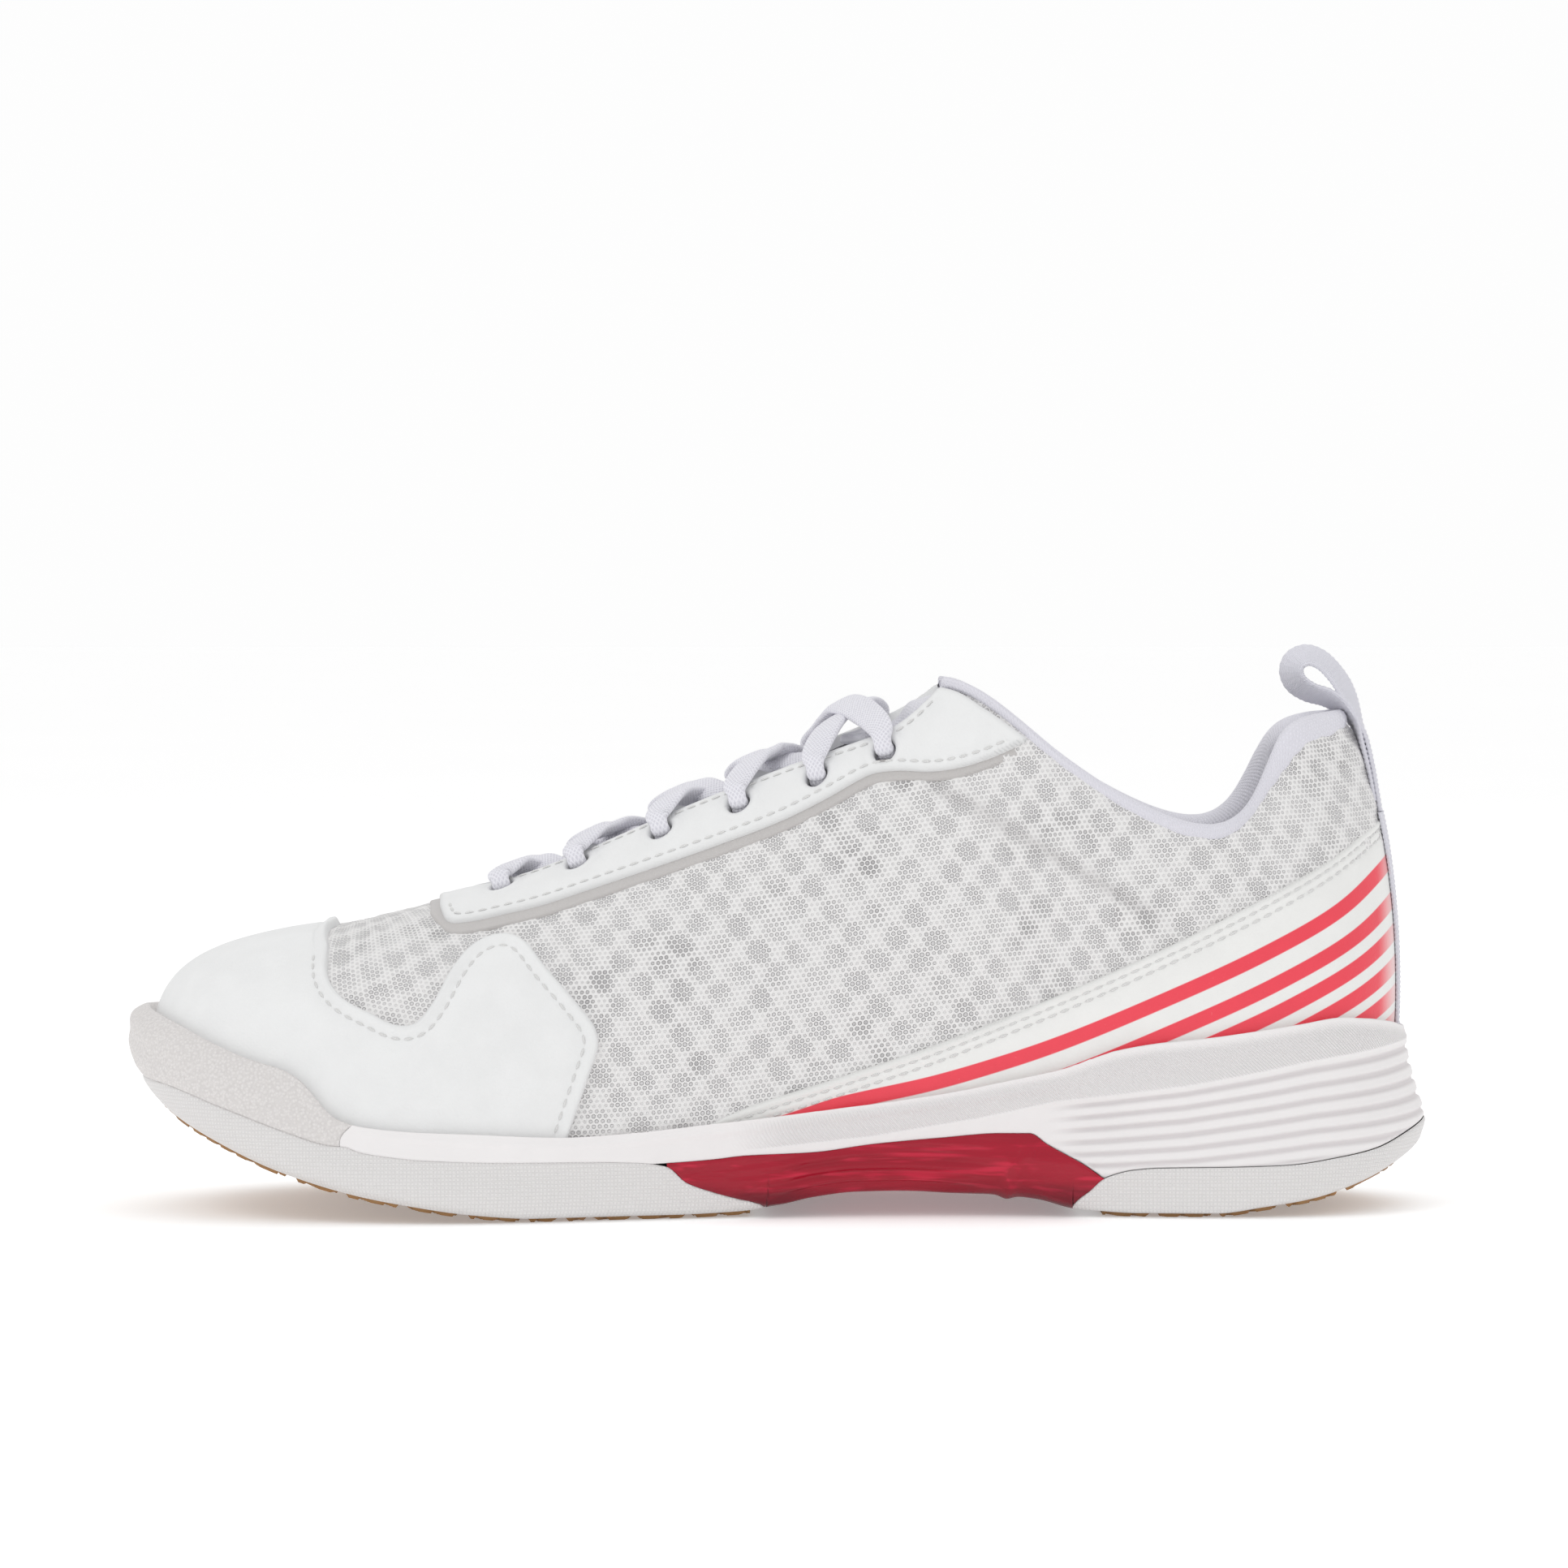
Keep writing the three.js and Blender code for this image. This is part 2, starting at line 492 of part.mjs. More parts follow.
function midsole() {
  let rest = soleBody.subtract(envelope);
  for (const zone of [cupZone, shankZone, heelZone]) rest = rest.subtract(pan(zone, CLEAR / 2));
  return largest(rest.subtract(sidePrism(grown(bumperZone, CLEAR / 2))));
}

function largest(solid) {
  return solid.decompose().reduce((a, b) => (b.volume() > a.volume() ? b : a));
}

// ---------------------------------------------------------------- the upper
// The opening over the instep: a round front, then two edges that part towards the ankle.
function throatOutline(extra) {
  const arc = Array.from({ length: 7 }, (_, k) => {
    const angle = (Math.PI / 2) * (1 - k / 3);
    const [reachX, reachY] = [THROAT.widths[0][0] - THROAT.front + extra, THROAT.widths[0][1] + extra];
    return [THROAT.widths[0][0] - reachX * Math.cos(angle), -0.5 - reachY * Math.sin(angle)];
  });
  const lateral = THROAT.widths.slice(1).map(([x, half]) => [x, half + extra]);
  return [...arc, ...lateral, ...lateral.toReversed().map(([x, y]) => [x, -y])];
}

const throat = planPrism(throatOutline(0));
const innerThroat = planPrism(throatOutline(1));
const laceZone = planPrism([[-70, -LACE_ZONE_HALF], [70, -LACE_ZONE_HALF], [70, LACE_ZONE_HALF], [-70, LACE_ZONE_HALF]]);

const throatHalf = profile(THROAT.widths);
const eyelets = EYELETS.map((x) => [-1, 1].map((side) => [x, side * (throatHalf(x) + EYELET_INSET)]));
const eyeletCutter = (radius) =>
  eyelets.flat().map(([x, y]) => {
    const [s, v] = below(x, y);
    const across = new THREE.CylinderGeometry(radius, radius, 12, 10);
    across.applyQuaternion(new THREE.Quaternion().setFromUnitVectors(THREE.Object3D.DEFAULT_UP, oneSidedNormal(s, v)));
    return solidOf(across.translate(...surface(s, v)));
  });
const punched = (solid, radius) => eyeletCutter(radius).reduce((rest, hole) => rest.subtract(hole), solid);

const OVER = [CLEAR, CLEAR + OVERLAY_THICK];
const UNDER = [CLEAR, CLEAR + UNDERLAY_THICK];
const EYESTAY = [UNDER[1] + CLEAR, UNDER[1] + CLEAR + 0.8];
const overlay = layer(...OVER);
const eyestayZone = [...EYESTAY_LOWER, ...EYESTAY_UPPER];
const EYESTAY_FRONT = EYESTAY_LOWER[0][0];
// The eyestay's outline with its lower edge and its front moved down and forwards.
const eyestayMoved = (by) => [
  [EYESTAY_FRONT - by, EYESTAY_LOWER[0][1] - by],
  ...EYESTAY_LOWER.slice(1).map(([x, z]) => [x + 0.3 * by, z - by]),
  ...EYESTAY_UPPER.slice(0, -1),
  [EYESTAY_FRONT - by, 130],
];
const underlayZone = eyestayMoved(UNDERLAY_DROP);
const underlayCore = eyestayMoved(-UNDERLAY_LAP);
const toeCapZone = [...TOE_CAP_REAR, [-160, 5], [-160, 70]];
const saddleZone = [...SADDLE_UPPER, [160, 5], [-8, 5]];

const meshUpper = largest(punched(layer(-MESH_THICK, 0).subtract(innerThroat), EYELET_RADIUS));
const eyestay = punched(layer(...EYESTAY).subtract(throat).intersect(sidePrism(eyestayZone)), EYELET_RADIUS);
const underlayFrame = layer(...UNDER).intersect(sidePrism(underlayZone)).subtract(sidePrism(underlayCore));
const underlay = punched(underlayFrame.subtract(throat), EYELET_RADIUS);
const toeCap = overlay.intersect(sidePrism(toeCapZone));
const saddle = (yFrom, yTo) => overlay.intersect(sidePrism(saddleZone, yFrom, yTo));

// Padding round the ankle: thin at the eyestay's top corners, thickest behind the heel.
const padDepth = profile([[9.5, 0.3], [10.3, 0.5], [11, 2], [12, 4.4], [13, 5.4], [15, 6.4], [17, 7]]);
const padAt = (s) => padDepth(Math.min(s, LOOP - s));
const PAD_SHAPE = [[0.38, 0.08], [0.58, 0.45], [0.73, 0.92], [0.84, 1], [0.93, 0.95], [1, 0.7]]; // v, share of the depth
const PAD_FROM = 10.5;
const PAD_FACE = -MESH_THICK - CLEAR;
function collarFoam(s) {
  const inner = PAD_SHAPE.map(([v, share]) => [v, PAD_FACE - 0.2 - padAt(s) * share]);
  return [...PAD_SHAPE.map(([v]) => [v, PAD_FACE]), ...inner.toReversed()];
}

// The collar's cloth: from its seam outside, over the top edge, and down inside to the heel's lining.
const seamShare = profile([[9.6, 0.985], [11.5, 0.972], [13, 0.955], [14, 0.93], [15, 0.9], [16, 0.9], [17, 0.93]]);
function collarCloth(s) {
  const seam = seamShare(Math.min(s, LOOP - s));
  const depth = padAt(s);
  const face = (v, share) => Math.min(LINING_OFFSET, PAD_FACE - 0.5 - depth * share);
  const inner = PAD_SHAPE.map(([v, share]) => [v, face(v, share)]);
  const faceTop = inner.at(-1)[1];
  return [
    [seam, CLEAR], [1, CLEAR, 0.1], [1, CLEAR, 0.35], [1, (CLEAR + faceTop) / 2, 0.6], [1, faceTop, 0.35],
    ...inner.toReversed(), [0.18, LINING_OFFSET], [0.03, LINING_OFFSET],
    [0.03, LINING_OFFSET - LINING_THICK], [0.18, LINING_OFFSET - LINING_THICK],
    ...inner.map(([v, off]) => [v, off - LINING_THICK]), [1, faceTop - LINING_THICK, 0.6],
    [1, (CLEAR + faceTop) / 2, 1.3], [1, 0.9, 0.9], [1, 1, 0.2], [seam, 0.9],
  ];
}
const CLOTH_FROM = 9.5;
const clothCutter = layer(-0.1, 4).intersect(sidePrism(grown(underlayZone, CLEAR)));
const collar = band(CLOTH_FROM, HEEL, collarCloth)
  .add(band(HEEL, LOOP - CLOTH_FROM, collarCloth))
  .subtract(clothCutter)
  .subtract(innerThroat);

const LINING = [LINING_OFFSET - LINING_THICK, LINING_OFFSET];
const liningRows = [0.03, ...SHELL_ROWS.slice(1)];
const vampLining = layer(...LINING, 0.1 - CLOTH_FROM, CLOTH_FROM - 0.1, liningRows).subtract(laceZone);

const toePuff = largest(layer(-2.2, -1.5, 0, LOOP, liningRows).intersect(halfSpace(0, -REACH, -112)));
const heelCounter = layer(-2.3, -1.5, 12.5, LOOP - 12.5, [0.03, 0.18, 0.34]);

// The strip that covers the back seam, with the pull loop's foot above it.
const backProfile = (off, from, to) => stepsFromTo(from, to, 8).map((v) => place(HEEL, v, off));
function stepsFromTo(from, to, count) {
  return Array.from({ length: count + 1 }, (_, k) => from + ((to - from) * k) / count);
}
const STRIP = [OVER[1] + CLEAR, OVER[1] + CLEAR + 0.9];
const STRIP_TOP = 0.61;
const heelStrip = (() => {
  const section = [...backProfile(STRIP[0], 0.16, STRIP_TOP), ...backProfile(STRIP[1], 0.16, STRIP_TOP).reverse()];
  return sidePrism(section.map((p) => [p.x, p.z]), -TAB_WIDTH / 2, TAB_WIDTH / 2).subtract(
    layer(0, STRIP[0], 15, LOOP - 15),
  );
})();

// The pull loop, seen from the side: webbing that runs up the back of the heel, over, and down to the same seam.
const LOOP_OUTSIDE = [
  [138.6, 91], [137.7, 96], [136.3, 102], [134.5, 109], [131.6, 117], [128.6, 122.2], [125, 126], [121.4, 127.2],
  [118.2, 125.8], [117.1, 122.9], [118.2, 119.6], [121.4, 117.2], [125.6, 115.9], [129.4, 113.4], [132, 109.6],
];
const LOOP_GAP = [
  [132.9, 111.4], [130.2, 117], [127.4, 121.4], [124.2, 124.7], [121.5, 125.7], [119.4, 124.8], [118.6, 122.9],
  [119.4, 120.7], [122.1, 118.6], [126.2, 117.3], [130.4, 114.5],
];
const pullLoop = (() => {
  const shape = new THREE.Shape(
    [...LOOP_OUTSIDE, [134.8, 102], [136.2, 96], [137.1, 91.4]].map(([x, z]) => new THREE.Vector2(x, z)),
  );
  shape.holes.push(new THREE.Path(LOOP_GAP.map(([x, z]) => new THREE.Vector2(x, z))));
  const geometry = new THREE.ExtrudeGeometry(shape, { depth: TAB_WIDTH, bevelEnabled: false });
  return solidOf(geometry.rotateX(Math.PI / 2).translate(0, TAB_WIDTH / 2, 0));
})();

// ---------------------------------------------------------------- inside the shoe
const floorLoop = (off, lift) => loopSteps.map((s) => place(s, 0, off).add(new THREE.Vector3(0, 0, lift)));
const board = stack([floorLoop(-3.6, 0), floorLoop(-3.6, BOARD_THICK)]);
const insoleBottom = BOARD_THICK + CLEAR;
const insole = stack([
  floorLoop(-4.4, insoleBottom),
  floorLoop(-4.1, insoleBottom + 0.6 * INSOLE_THICK),
  floorLoop(-4.8, insoleBottom + INSOLE_THICK),
]);

// ---------------------------------------------------------------- the tongue
// Sections across the instep, a fixed distance under the upper; past the last station they carry on
// along the ridge.
const TONGUE_GAP = -4.7; // top face of the tongue off the upper's surface, which leaves room for the lace
const TONGUE_EDGE = 0.7; // height share of the tongue's side edges
const TONGUE_BASE = 4.5;
const tongueRows = [TONGUE_EDGE, 0.8, 0.88, 0.95, 1];
function tongueSection(s, top, bottom, inset = 0) {
  const rows = tongueRows.map((v) => Math.max(v, TONGUE_EDGE + inset));
  const half = (off) => [
    ...rows.map((v) => place(s, v, off)),
    ...rows.toReversed().slice(1).map((v) => place(LOOP - s, v, off)),
  ];
  return [...half(top), ...half(bottom).reverse()];
}

const TONGUE_END_SLOPE = 0.3;
const tonguePast = (distance) => new THREE.Vector3(1, 0, TONGUE_END_SLOPE).normalize().multiplyScalar(distance);
function tongueLayer(top, bottom, from, to, inset) {
  // Positions over INSTEP mean millimetres past the last ridge station, at 10 mm to the unit.
  const count = Math.max(2, Math.round((to - from) * STEPS_PER_STATION));
  const rings = stepsFromTo(from, to, count).map((s) => {
    const shift = tonguePast(10 * Math.max(0, s - INSTEP));
    return tongueSection(Math.min(s, INSTEP), top, bottom, inset).map((p) => p.add(shift));
  });
  const n = rings[0].length / 2;
  return loft(rings, true, (k) => k >= n - 1);
}
const TONGUE_SPLIT = 9.5; // where the thick end pad starts
const TONGUE_TOP = 10.9;
const tongueShell = tongueLayer(TONGUE_GAP, TONGUE_GAP - 0.8, TONGUE_BASE, TONGUE_SPLIT, 0);
const tongueFoam = tongueLayer(TONGUE_GAP - 1.1, TONGUE_GAP - 3.1, TONGUE_BASE + 0.5, TONGUE_SPLIT, 0.02);
const tongueLining = tongueLayer(TONGUE_GAP - 3.4, TONGUE_GAP - 4, TONGUE_BASE, TONGUE_SPLIT, 0);
const tonguePad = tongueLayer(TONGUE_GAP, TONGUE_GAP - 6.4, TONGUE_SPLIT + 0.05, TONGUE_TOP, 0);

// ---------------------------------------------------------------- the lace
// One flat lace, criss-crossed: up out of each eyelet, over its own edge, across the tongue, and under the
// other edge. Waypoints are [x, y, height off the upper's surface, width].
const TURN = (EYESTAY[1] + MESH_THICK) / 2 + CLEAR + 0.45 + LACE_THICK / 2; // radius of the turn in an eyelet
const MIDDLE = (EYESTAY[1] - MESH_THICK) / 2;
const TURN_SHIFT = 0.5; // the turn reaches this far past the eyelet's middle
const CROSSING_GAP = LACE_THICK / 2 + 0.25; // half the distance between two strands that cross
const TURN_STEPS = 4;

// The half circle through an eyelet, from below the upper to above it or the other way.
function laceTurn([x, y], upwards) {
  const turn = stepsFromTo(-90, 90, TURN_STEPS).map((degrees) => {
    const angle = THREE.MathUtils.degToRad(degrees);
    const inwards = TURN - TURN_SHIFT - TURN * Math.cos(angle);
    const inHole = Math.abs(degrees) < 80;
    return [x, y - Math.sign(y) * inwards, MIDDLE + TURN * Math.sin(angle), inHole ? LACE_IN_EYELET : 5.6];
  });
  return upwards ? turn : turn.toReversed();
}

// The straight part between two eyelets; heights holds the levels at the first edge, middle and second edge.
function laceSpan([x0, y0], [x1, y1], heights) {
  const shares = [0.2, 0.35, 0.5, 0.65, 0.8];
  const levels = [heights[0], (heights[0] + heights[1]) / 2, heights[1], (heights[1] + heights[2]) / 2, heights[2]];
  const reach = (y) => y - Math.sign(y) * (TURN - TURN_SHIFT);
  return shares.map((share, i) => [
    x0 + (x1 - x0) * share,
    reach(y0) + (reach(y1) - reach(y0)) * share,
    levels[i],
    LACE_WIDTH,
  ]);
}

// One half of the lace, from under the first row on one side up to its tucked end.
function laceHalf(side) {
  const [above, beneath] = [MIDDLE + TURN, MIDDLE - TURN];
  const path = [];
  let at = side;
  for (let row = 0; row < eyelets.length - 1; row++) {
    const over = (at > 0) === (row % 2 === 0) ? CROSSING_GAP : -CROSSING_GAP;
    const [from, to] = [eyelets[row][at > 0 ? 1 : 0], eyelets[row + 1][at > 0 ? 0 : 1]];
    const last = row === eyelets.length - 2;
    path.push(...laceTurn(from, true));
    path.push(...laceSpan(from, to, [above, (last ? above : MIDDLE) + over, last ? above : beneath]));
    at = -at;
  }
  const [x, y] = eyelets.at(-1)[at > 0 ? 1 : 0];
  path.push(...laceTurn([x, y], false));
  const inwards = (distance) => y - Math.sign(y) * distance;
  return [...path, [x - 2, inwards(5.5), beneath, 5], [x - 5, inwards(8), beneath, 3.4]];
}

function lacePath() {
  const [medial, lateral] = [laceHalf(-1), laceHalf(1)];
  const beneath = MIDDLE - TURN;
  const bar = [-0.5, 0, 0.5].map((share) => [EYELETS[0], share * 2 * medial[0][1] * -0.5, beneath, LACE_WIDTH]);
  return [...medial.toReversed(), ...bar.toReversed().map(([x, y, h, w]) => [x, -y, h, w]), ...lateral];
}

const laceSection = (width, thick) => [
  [-width / 2, thick / 2], [width / 2, thick / 2], [width / 2, -thick / 2], [-width / 2, -thick / 2],
];

function sweep(waypoints) {
  const spots = waypoints.map(([x, y]) => below(x, y || 1e-3));
  const centre = waypoints.map((w, i) => place(...spots[i], w[2]));
  const rings = centre.map((p, i) => {
    const [before, after] = [centre[Math.max(0, i - 1)], centre[Math.min(i + 1, centre.length - 1)]];
    const along = after.clone().sub(before).normalize();
    const out = oneSidedNormal(...spots[i]);
    const edge = new THREE.Vector3(1, 0, 0).addScaledVector(out, -out.x);
    const across = edge.addScaledVector(along, -along.dot(edge)).normalize();
    const up = across.clone().cross(along);
    return laceSection(waypoints[i][3], LACE_THICK).map(([w, h]) =>
      p.clone().addScaledVector(across, w).addScaledVector(up, h),
    );
  });
  return loft(rings, true);
}

const lace = lacePath();

// The moulded tip at an end of the lace, in line with its last stretch.
const TIP_RADIUS = 1.2;
const TIP_LENGTH = 8;
function laceTip(end, before) {
  const [from, to] = [before, end].map(([x, y, height]) => place(...below(x, y), height));
  const along = to.clone().sub(from).normalize();
  const tip = new THREE.CylinderGeometry(TIP_RADIUS * 0.8, TIP_RADIUS, TIP_LENGTH, 10);
  tip.applyQuaternion(new THREE.Quaternion().setFromUnitVectors(THREE.Object3D.DEFAULT_UP, along));
  return solidOf(tip.translate(...to.addScaledVector(along, CLEAR + TIP_LENGTH / 2)));
}

// ---------------------------------------------------------------- materials and assembly
const COLOURS = {
  mesh: [0xe9e7e6, 0.9],
  leather: [0xf0efee, 0.55],
  microfibre: [0xd9d4d2, 0.9],
  cloth: [0xe6e4f2, 0.95],
  foam: [0xe8e2d8, 0.9],
  stiffener: [0xd8d2c4, 0.7],
  midsole: [0xf1edec, 0.6],
  cup: [0xdedad8, 0.65],
  shank: [0xc8283f, 0.3],
  gum: [0xa8793f, 0.6],
  webbing: [0xe8e7f4, 0.9],
  tip: [0xf4f4f8, 0.35],
};

const shoe = new THREE.Group();
function add(name, colour, solid) {
  const mesh = solid.getMesh();
  const positions = [];
  for (let i = 0; i < mesh.numVert; i++) positions.push(...mesh.vertProperties.slice(i * mesh.numProp, i * mesh.numProp + 3));
  const geometry = new THREE.BufferGeometry()
    .setAttribute("position", new THREE.Float32BufferAttribute(positions, 3))
    .setIndex([...mesh.triVerts]);
  const [color, roughness] = COLOURS[colour];
  const made = new THREE.Mesh(geometry, new THREE.MeshStandardMaterial({ color, roughness, metalness: 0 }));
  made.name = name;
  shoe.add(made);
}

add("midsole", "midsole", midsole());
add("forefoot_cup", "cup", largest(zoned(cupZone)));
add("shank", "shank", largest(zoned(shankZone)));
add("heel_cup", "cup", largest(zoned(heelZone)));
add("toe_bumper", "cup", largest(soleBody.subtract(envelope).intersect(sidePrism(grown(bumperZone, -CLEAR / 2)))));
add("forefoot_tread", "gum", largest(grooved.intersect(forefoot)));
add("heel_tread", "gum", largest(grooved.intersect(rearfoot)));
add("mesh_upper", "mesh", meshUpper);
add("toe_cap", "leather", largest(toeCap));
add("eyestay", "leather", largest(eyestay));
add("eyestay_underlay", "microfibre", largest(underlay));
add("medial_saddle", "leather", largest(saddle(-REACH, -CLEAR / 2)));
add("lateral_saddle", "leather", largest(saddle(CLEAR / 2, REACH)));
add("heel_strip", "webbing", largest(heelStrip));
add("pull_loop", "webbing", pullLoop);
add("collar_foam", "foam", band(PAD_FROM, HEEL, collarFoam).add(band(HEEL, LOOP - PAD_FROM, collarFoam)));
add("collar_lining", "cloth", largest(collar));
add("vamp_lining", "cloth", largest(vampLining));
add("lace", "webbing", sweep(lace));
add("lace_tip_medial", "tip", laceTip(lace[0], lace[1]));
add("lace_tip_lateral", "tip", laceTip(lace.at(-1), lace.at(-2)));
add("toe_puff", "stiffener", toePuff);
add("heel_counter", "stiffener", heelCounter);
add("insole_board", "stiffener", board);
add("insole", "foam", insole);
add("tongue_shell", "mesh", tongueShell);
add("tongue_foam", "foam", tongueFoam);
add("tongue_lining", "cloth", tongueLining);
add("tongue_pad", "cloth", tonguePad);

export default shoe;
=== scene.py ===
"""Looks for a low bowling shoe: every visible surface is grown from the same lofted shapes as its CAD solids.

Lengths inside the shape code are millimetres; they become metres when a mesh is made.
+X runs from the toe to the heel, -Y is the inner side of the foot, +Z is up.
"""

import math

import bmesh
import bpy
import numpy as np
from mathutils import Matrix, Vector
from mathutils.geometry import delaunay_2d_cdt


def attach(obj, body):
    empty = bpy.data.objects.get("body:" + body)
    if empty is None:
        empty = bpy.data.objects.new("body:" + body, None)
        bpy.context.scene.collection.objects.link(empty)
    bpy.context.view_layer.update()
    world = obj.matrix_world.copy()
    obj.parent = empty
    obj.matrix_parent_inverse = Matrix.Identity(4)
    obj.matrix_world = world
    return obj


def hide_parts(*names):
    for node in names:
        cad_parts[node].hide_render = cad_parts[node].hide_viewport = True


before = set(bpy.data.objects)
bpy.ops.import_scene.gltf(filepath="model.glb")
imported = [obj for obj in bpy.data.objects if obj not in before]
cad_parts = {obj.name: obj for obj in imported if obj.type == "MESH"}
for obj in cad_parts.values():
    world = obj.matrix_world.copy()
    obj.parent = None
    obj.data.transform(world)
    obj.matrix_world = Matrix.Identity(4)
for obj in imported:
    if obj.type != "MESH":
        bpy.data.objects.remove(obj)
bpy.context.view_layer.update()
MM = 0.001

# ---------------------------------------------------------------- driving sizes, in mm
MESH_THICK = 1.2
MESH_SHEET = 1.1  # the knit that shows, without its backing
UNDERLAY_THICK = 0.55
EYESTAY_TOP = 1.75
LINING_OFFSET = -2.6
LINING_THICK = 0.6
THROAT_FRONT = -69
THROAT_WIDTHS = [(-62, 7), (-52, 9), (-20, 10.5), (15, 12), (38, 15), (62, 17)]
EYELET_ROWS = [-63.5, -46, -27, -9.3, 8.4, 24]
EYELET_INSETS = [5.2, 5.2, 5.2, 5.2, 4.5, 3.3]
EYELET_RADIUS = 2.7
LACE_WIDTH = 7.2
LACE_THICK = 2.5
LACE_IN_EYELET = 4.2
WEBBING_WIDTH = 10
WEBBING_PITCH = 1.15  # from rib to rib of the webbing
TOE_CAP_STITCH = 3.3  # distances of the rows of stitches from their panel's edge
FACING_STITCH = 2.2
THROAT_STITCH = 2.0
SADDLE_STITCHES = (1.9, 3.7)
HEEL = 17
LOOP = 2 * HEEL
INSTEP = 9
TOE_SLOPE = 0.2

# Stations from toe to heel: rib foot on the medial and lateral side, top, half the opening, and the two
# Bezier handles: low = (outwards, share of the height), high = (share of the width, outwards, downwards).
STATIONS = [
    ((-142.5, -9), (-142.5, -9), (-112, -6, 63), 0, (3, 0.77), (0.56, 0, 0)),
    ((-139.5, -22.5), (-140, 5.5), (-107, -5, 63.7), 0, (3, 0.7), (0.6, 0, 0)),
    ((-132, -33.5), (-133.5, 17.5), (-101.5, -4, 64.5), 0, (3, 0.64), (0.62, 0, 0)),
    ((-117, -42), (-120, 29.5), (-94, -3, 66), 0, (3, 0.58), (0.65, 0, 0)),
    ((-97, -46.5), (-100, 39.5), (-82, -2, 69), 0, (3, 0.52), (0.68, 0, 0)),
    ((-73, -47.5), (-77, 45.5), (-66, -1, 72.8), 0, (3, 0.5), (0.72, 0, 0)),
    ((-48, -44), (-50, 48.5), (-46, 0, 80.8), 0, (4, 0.47), (0.74, 0, 0)),
    ((-20, -37.5), (-21, 47), (-22, 0, 92.6), 0, (6, 0.44), (0.76, 0, 0)),
    ((7, -33), (7, 42.5), (4, 0, 104.6), 0, (7, 0.42), (0.78, 0, 0)),
    ((32, -31), (32, 38.5), (24, 0, 115.2), 0, (7, 0.4), (0.74, 0, 0)),
    ((50, -31.2), (50, 36.5), (41, 0, 119.8), 17, (6, 0.38), (0, 9, 9)),
    ((66, -32.2), (66, 35.3), (60, 0, 106), 25.5, (5, 0.38), (0, 8, 12)),
    ((84, -33.5), (84, 34.5), (80, 0, 92.8), 28, (4, 0.38), (0, 7, 14)),
    ((101, -33.3), (101, 33.3), (98, 0, 87.6), 26.5, (3.5, 0.38), (0, 6.5, 14)),
    ((116, -30), (116, 30), (108, 0, 95.3), 22.5, (3.5, 0.38), (0, 8, 12)),
    ((128, -24), (128, 24), (113.5, 0, 106.6), 17.5, (4, 0.38), (0, 9.5, 11)),
    ((136, -14), (136, 14), (120.5, 0, 111.6), 10.5, (4, 0.38), (0, 10, 10)),
    ((139.5, 0), (139.5, 0), (127.5, 0, 112.6), 0, (4, 0.376), (0, 10.5, 10)),
]
SOLE_MEDIAL = [
    (-149, -9), (-146, -24), (-138, -36.5), (-122, -46), (-100, -51), (-75, -52.2), (-50, -48), (-22, -41),
    (6, -36.3), (32, -34.5), (50, -35), (67, -36.5), (86, -38.3), (104, -38.8), (120, -36.5), (134, -29.5),
    (144, -17), (149, 0),
]
SOLE_LATERAL = [
    (-149, -9), (-146.5, 7), (-140, 20.5), (-126, 33.5), (-105, 43.8), (-80, 49.7), (-52, 52.1), (-22, 50.7),
    (6, 46.8), (32, 42.7), (50, 40.8), (67, 39.8), (86, 39.3), (104, 38.8), (120, 36.5), (134, 29.5), (144, 17),
    (149, 0),
]
TOE_CAP_REAR = [
    (-101.6, 64), (-102.2, 60), (-101.6, 54), (-98.5, 50), (-91, 46.2), (-85.5, 44), (-81.8, 44.4), (-78.6, 47.8),
    (-73.6, 56.4), (-70, 60.4), (-65.8, 62.6), (-61.3, 63.3), (-57.6, 62), (-52.6, 56.4), (-45.5, 48.6),
    (-41.6, 43.4), (-40.8, 39.6), (-43, 32.5), (-46, 24), (-48.5, 16.5),
]
EYESTAY_LOWER = [
    (-75.5, 65.7), (-70, 65.9), (-63, 67.4), (-54, 69.6), (-40, 74.2), (-26, 79), (-12, 84), (0, 88.6), (11, 94),
    (17, 97.4), (21, 99.3), (27, 100.1), (34, 100), (41, 101.1), (48, 103.4), (54.5, 106.3),
]
EAR_TOP = [(55.9, 107), (54.9, 107.9), (51.5, 110.5), (45.6, 114.7), (41, 117.7)]
SADDLE_UPPER = [
    (-20, 20.3), (-12, 23.6), (-3, 26.8), (7, 29.8), (20, 34), (34, 38.7), (57.5, 48.1), (80.5, 58.3), (95, 65),
    (109, 72), (122, 79.2), (131, 84.9), (137, 88.8),
]
FIRST_STRIPE = [
    (6, 23.6), (13, 25.8), (34, 30.4), (48, 34.4), (62, 39.2), (85, 48.8), (108.5, 59.3), (126, 68.8), (137, 77.4),
    (145, 84.4),
]
STRIPES = [0, 7.2, 13.1, 18.9, 24.3, 29.3]  # distances of the printed stripes' middles below the first one
STRIPE_WIDTH = 3.3
CLUSTER = (9.1, 10.6)  # spacing of the mesh's groups of holes, along and up; every other row is staggered
CLUSTER_LEAN = 0.2
HOLE_PITCH = (1.3, 2.25)
BUMPER_LOWER = [(-152, 31.8), (-140.4, 30.6), (-124.3, 25.6), (-110.2, 20.7), (-100.5, 17.9), (-97, 17.6)]
CUP_UPPER = [(-94, 16.5), (-89, 15.6), (-79, 14.6), (-61, 13.9), (-42, 13.7), (-32, 13.3), (-25.5, 12.3)]
CUP_REAR = [(-21, 8.6), (-15, 6.2), (-10, 4.6), (-5, 3.1)]
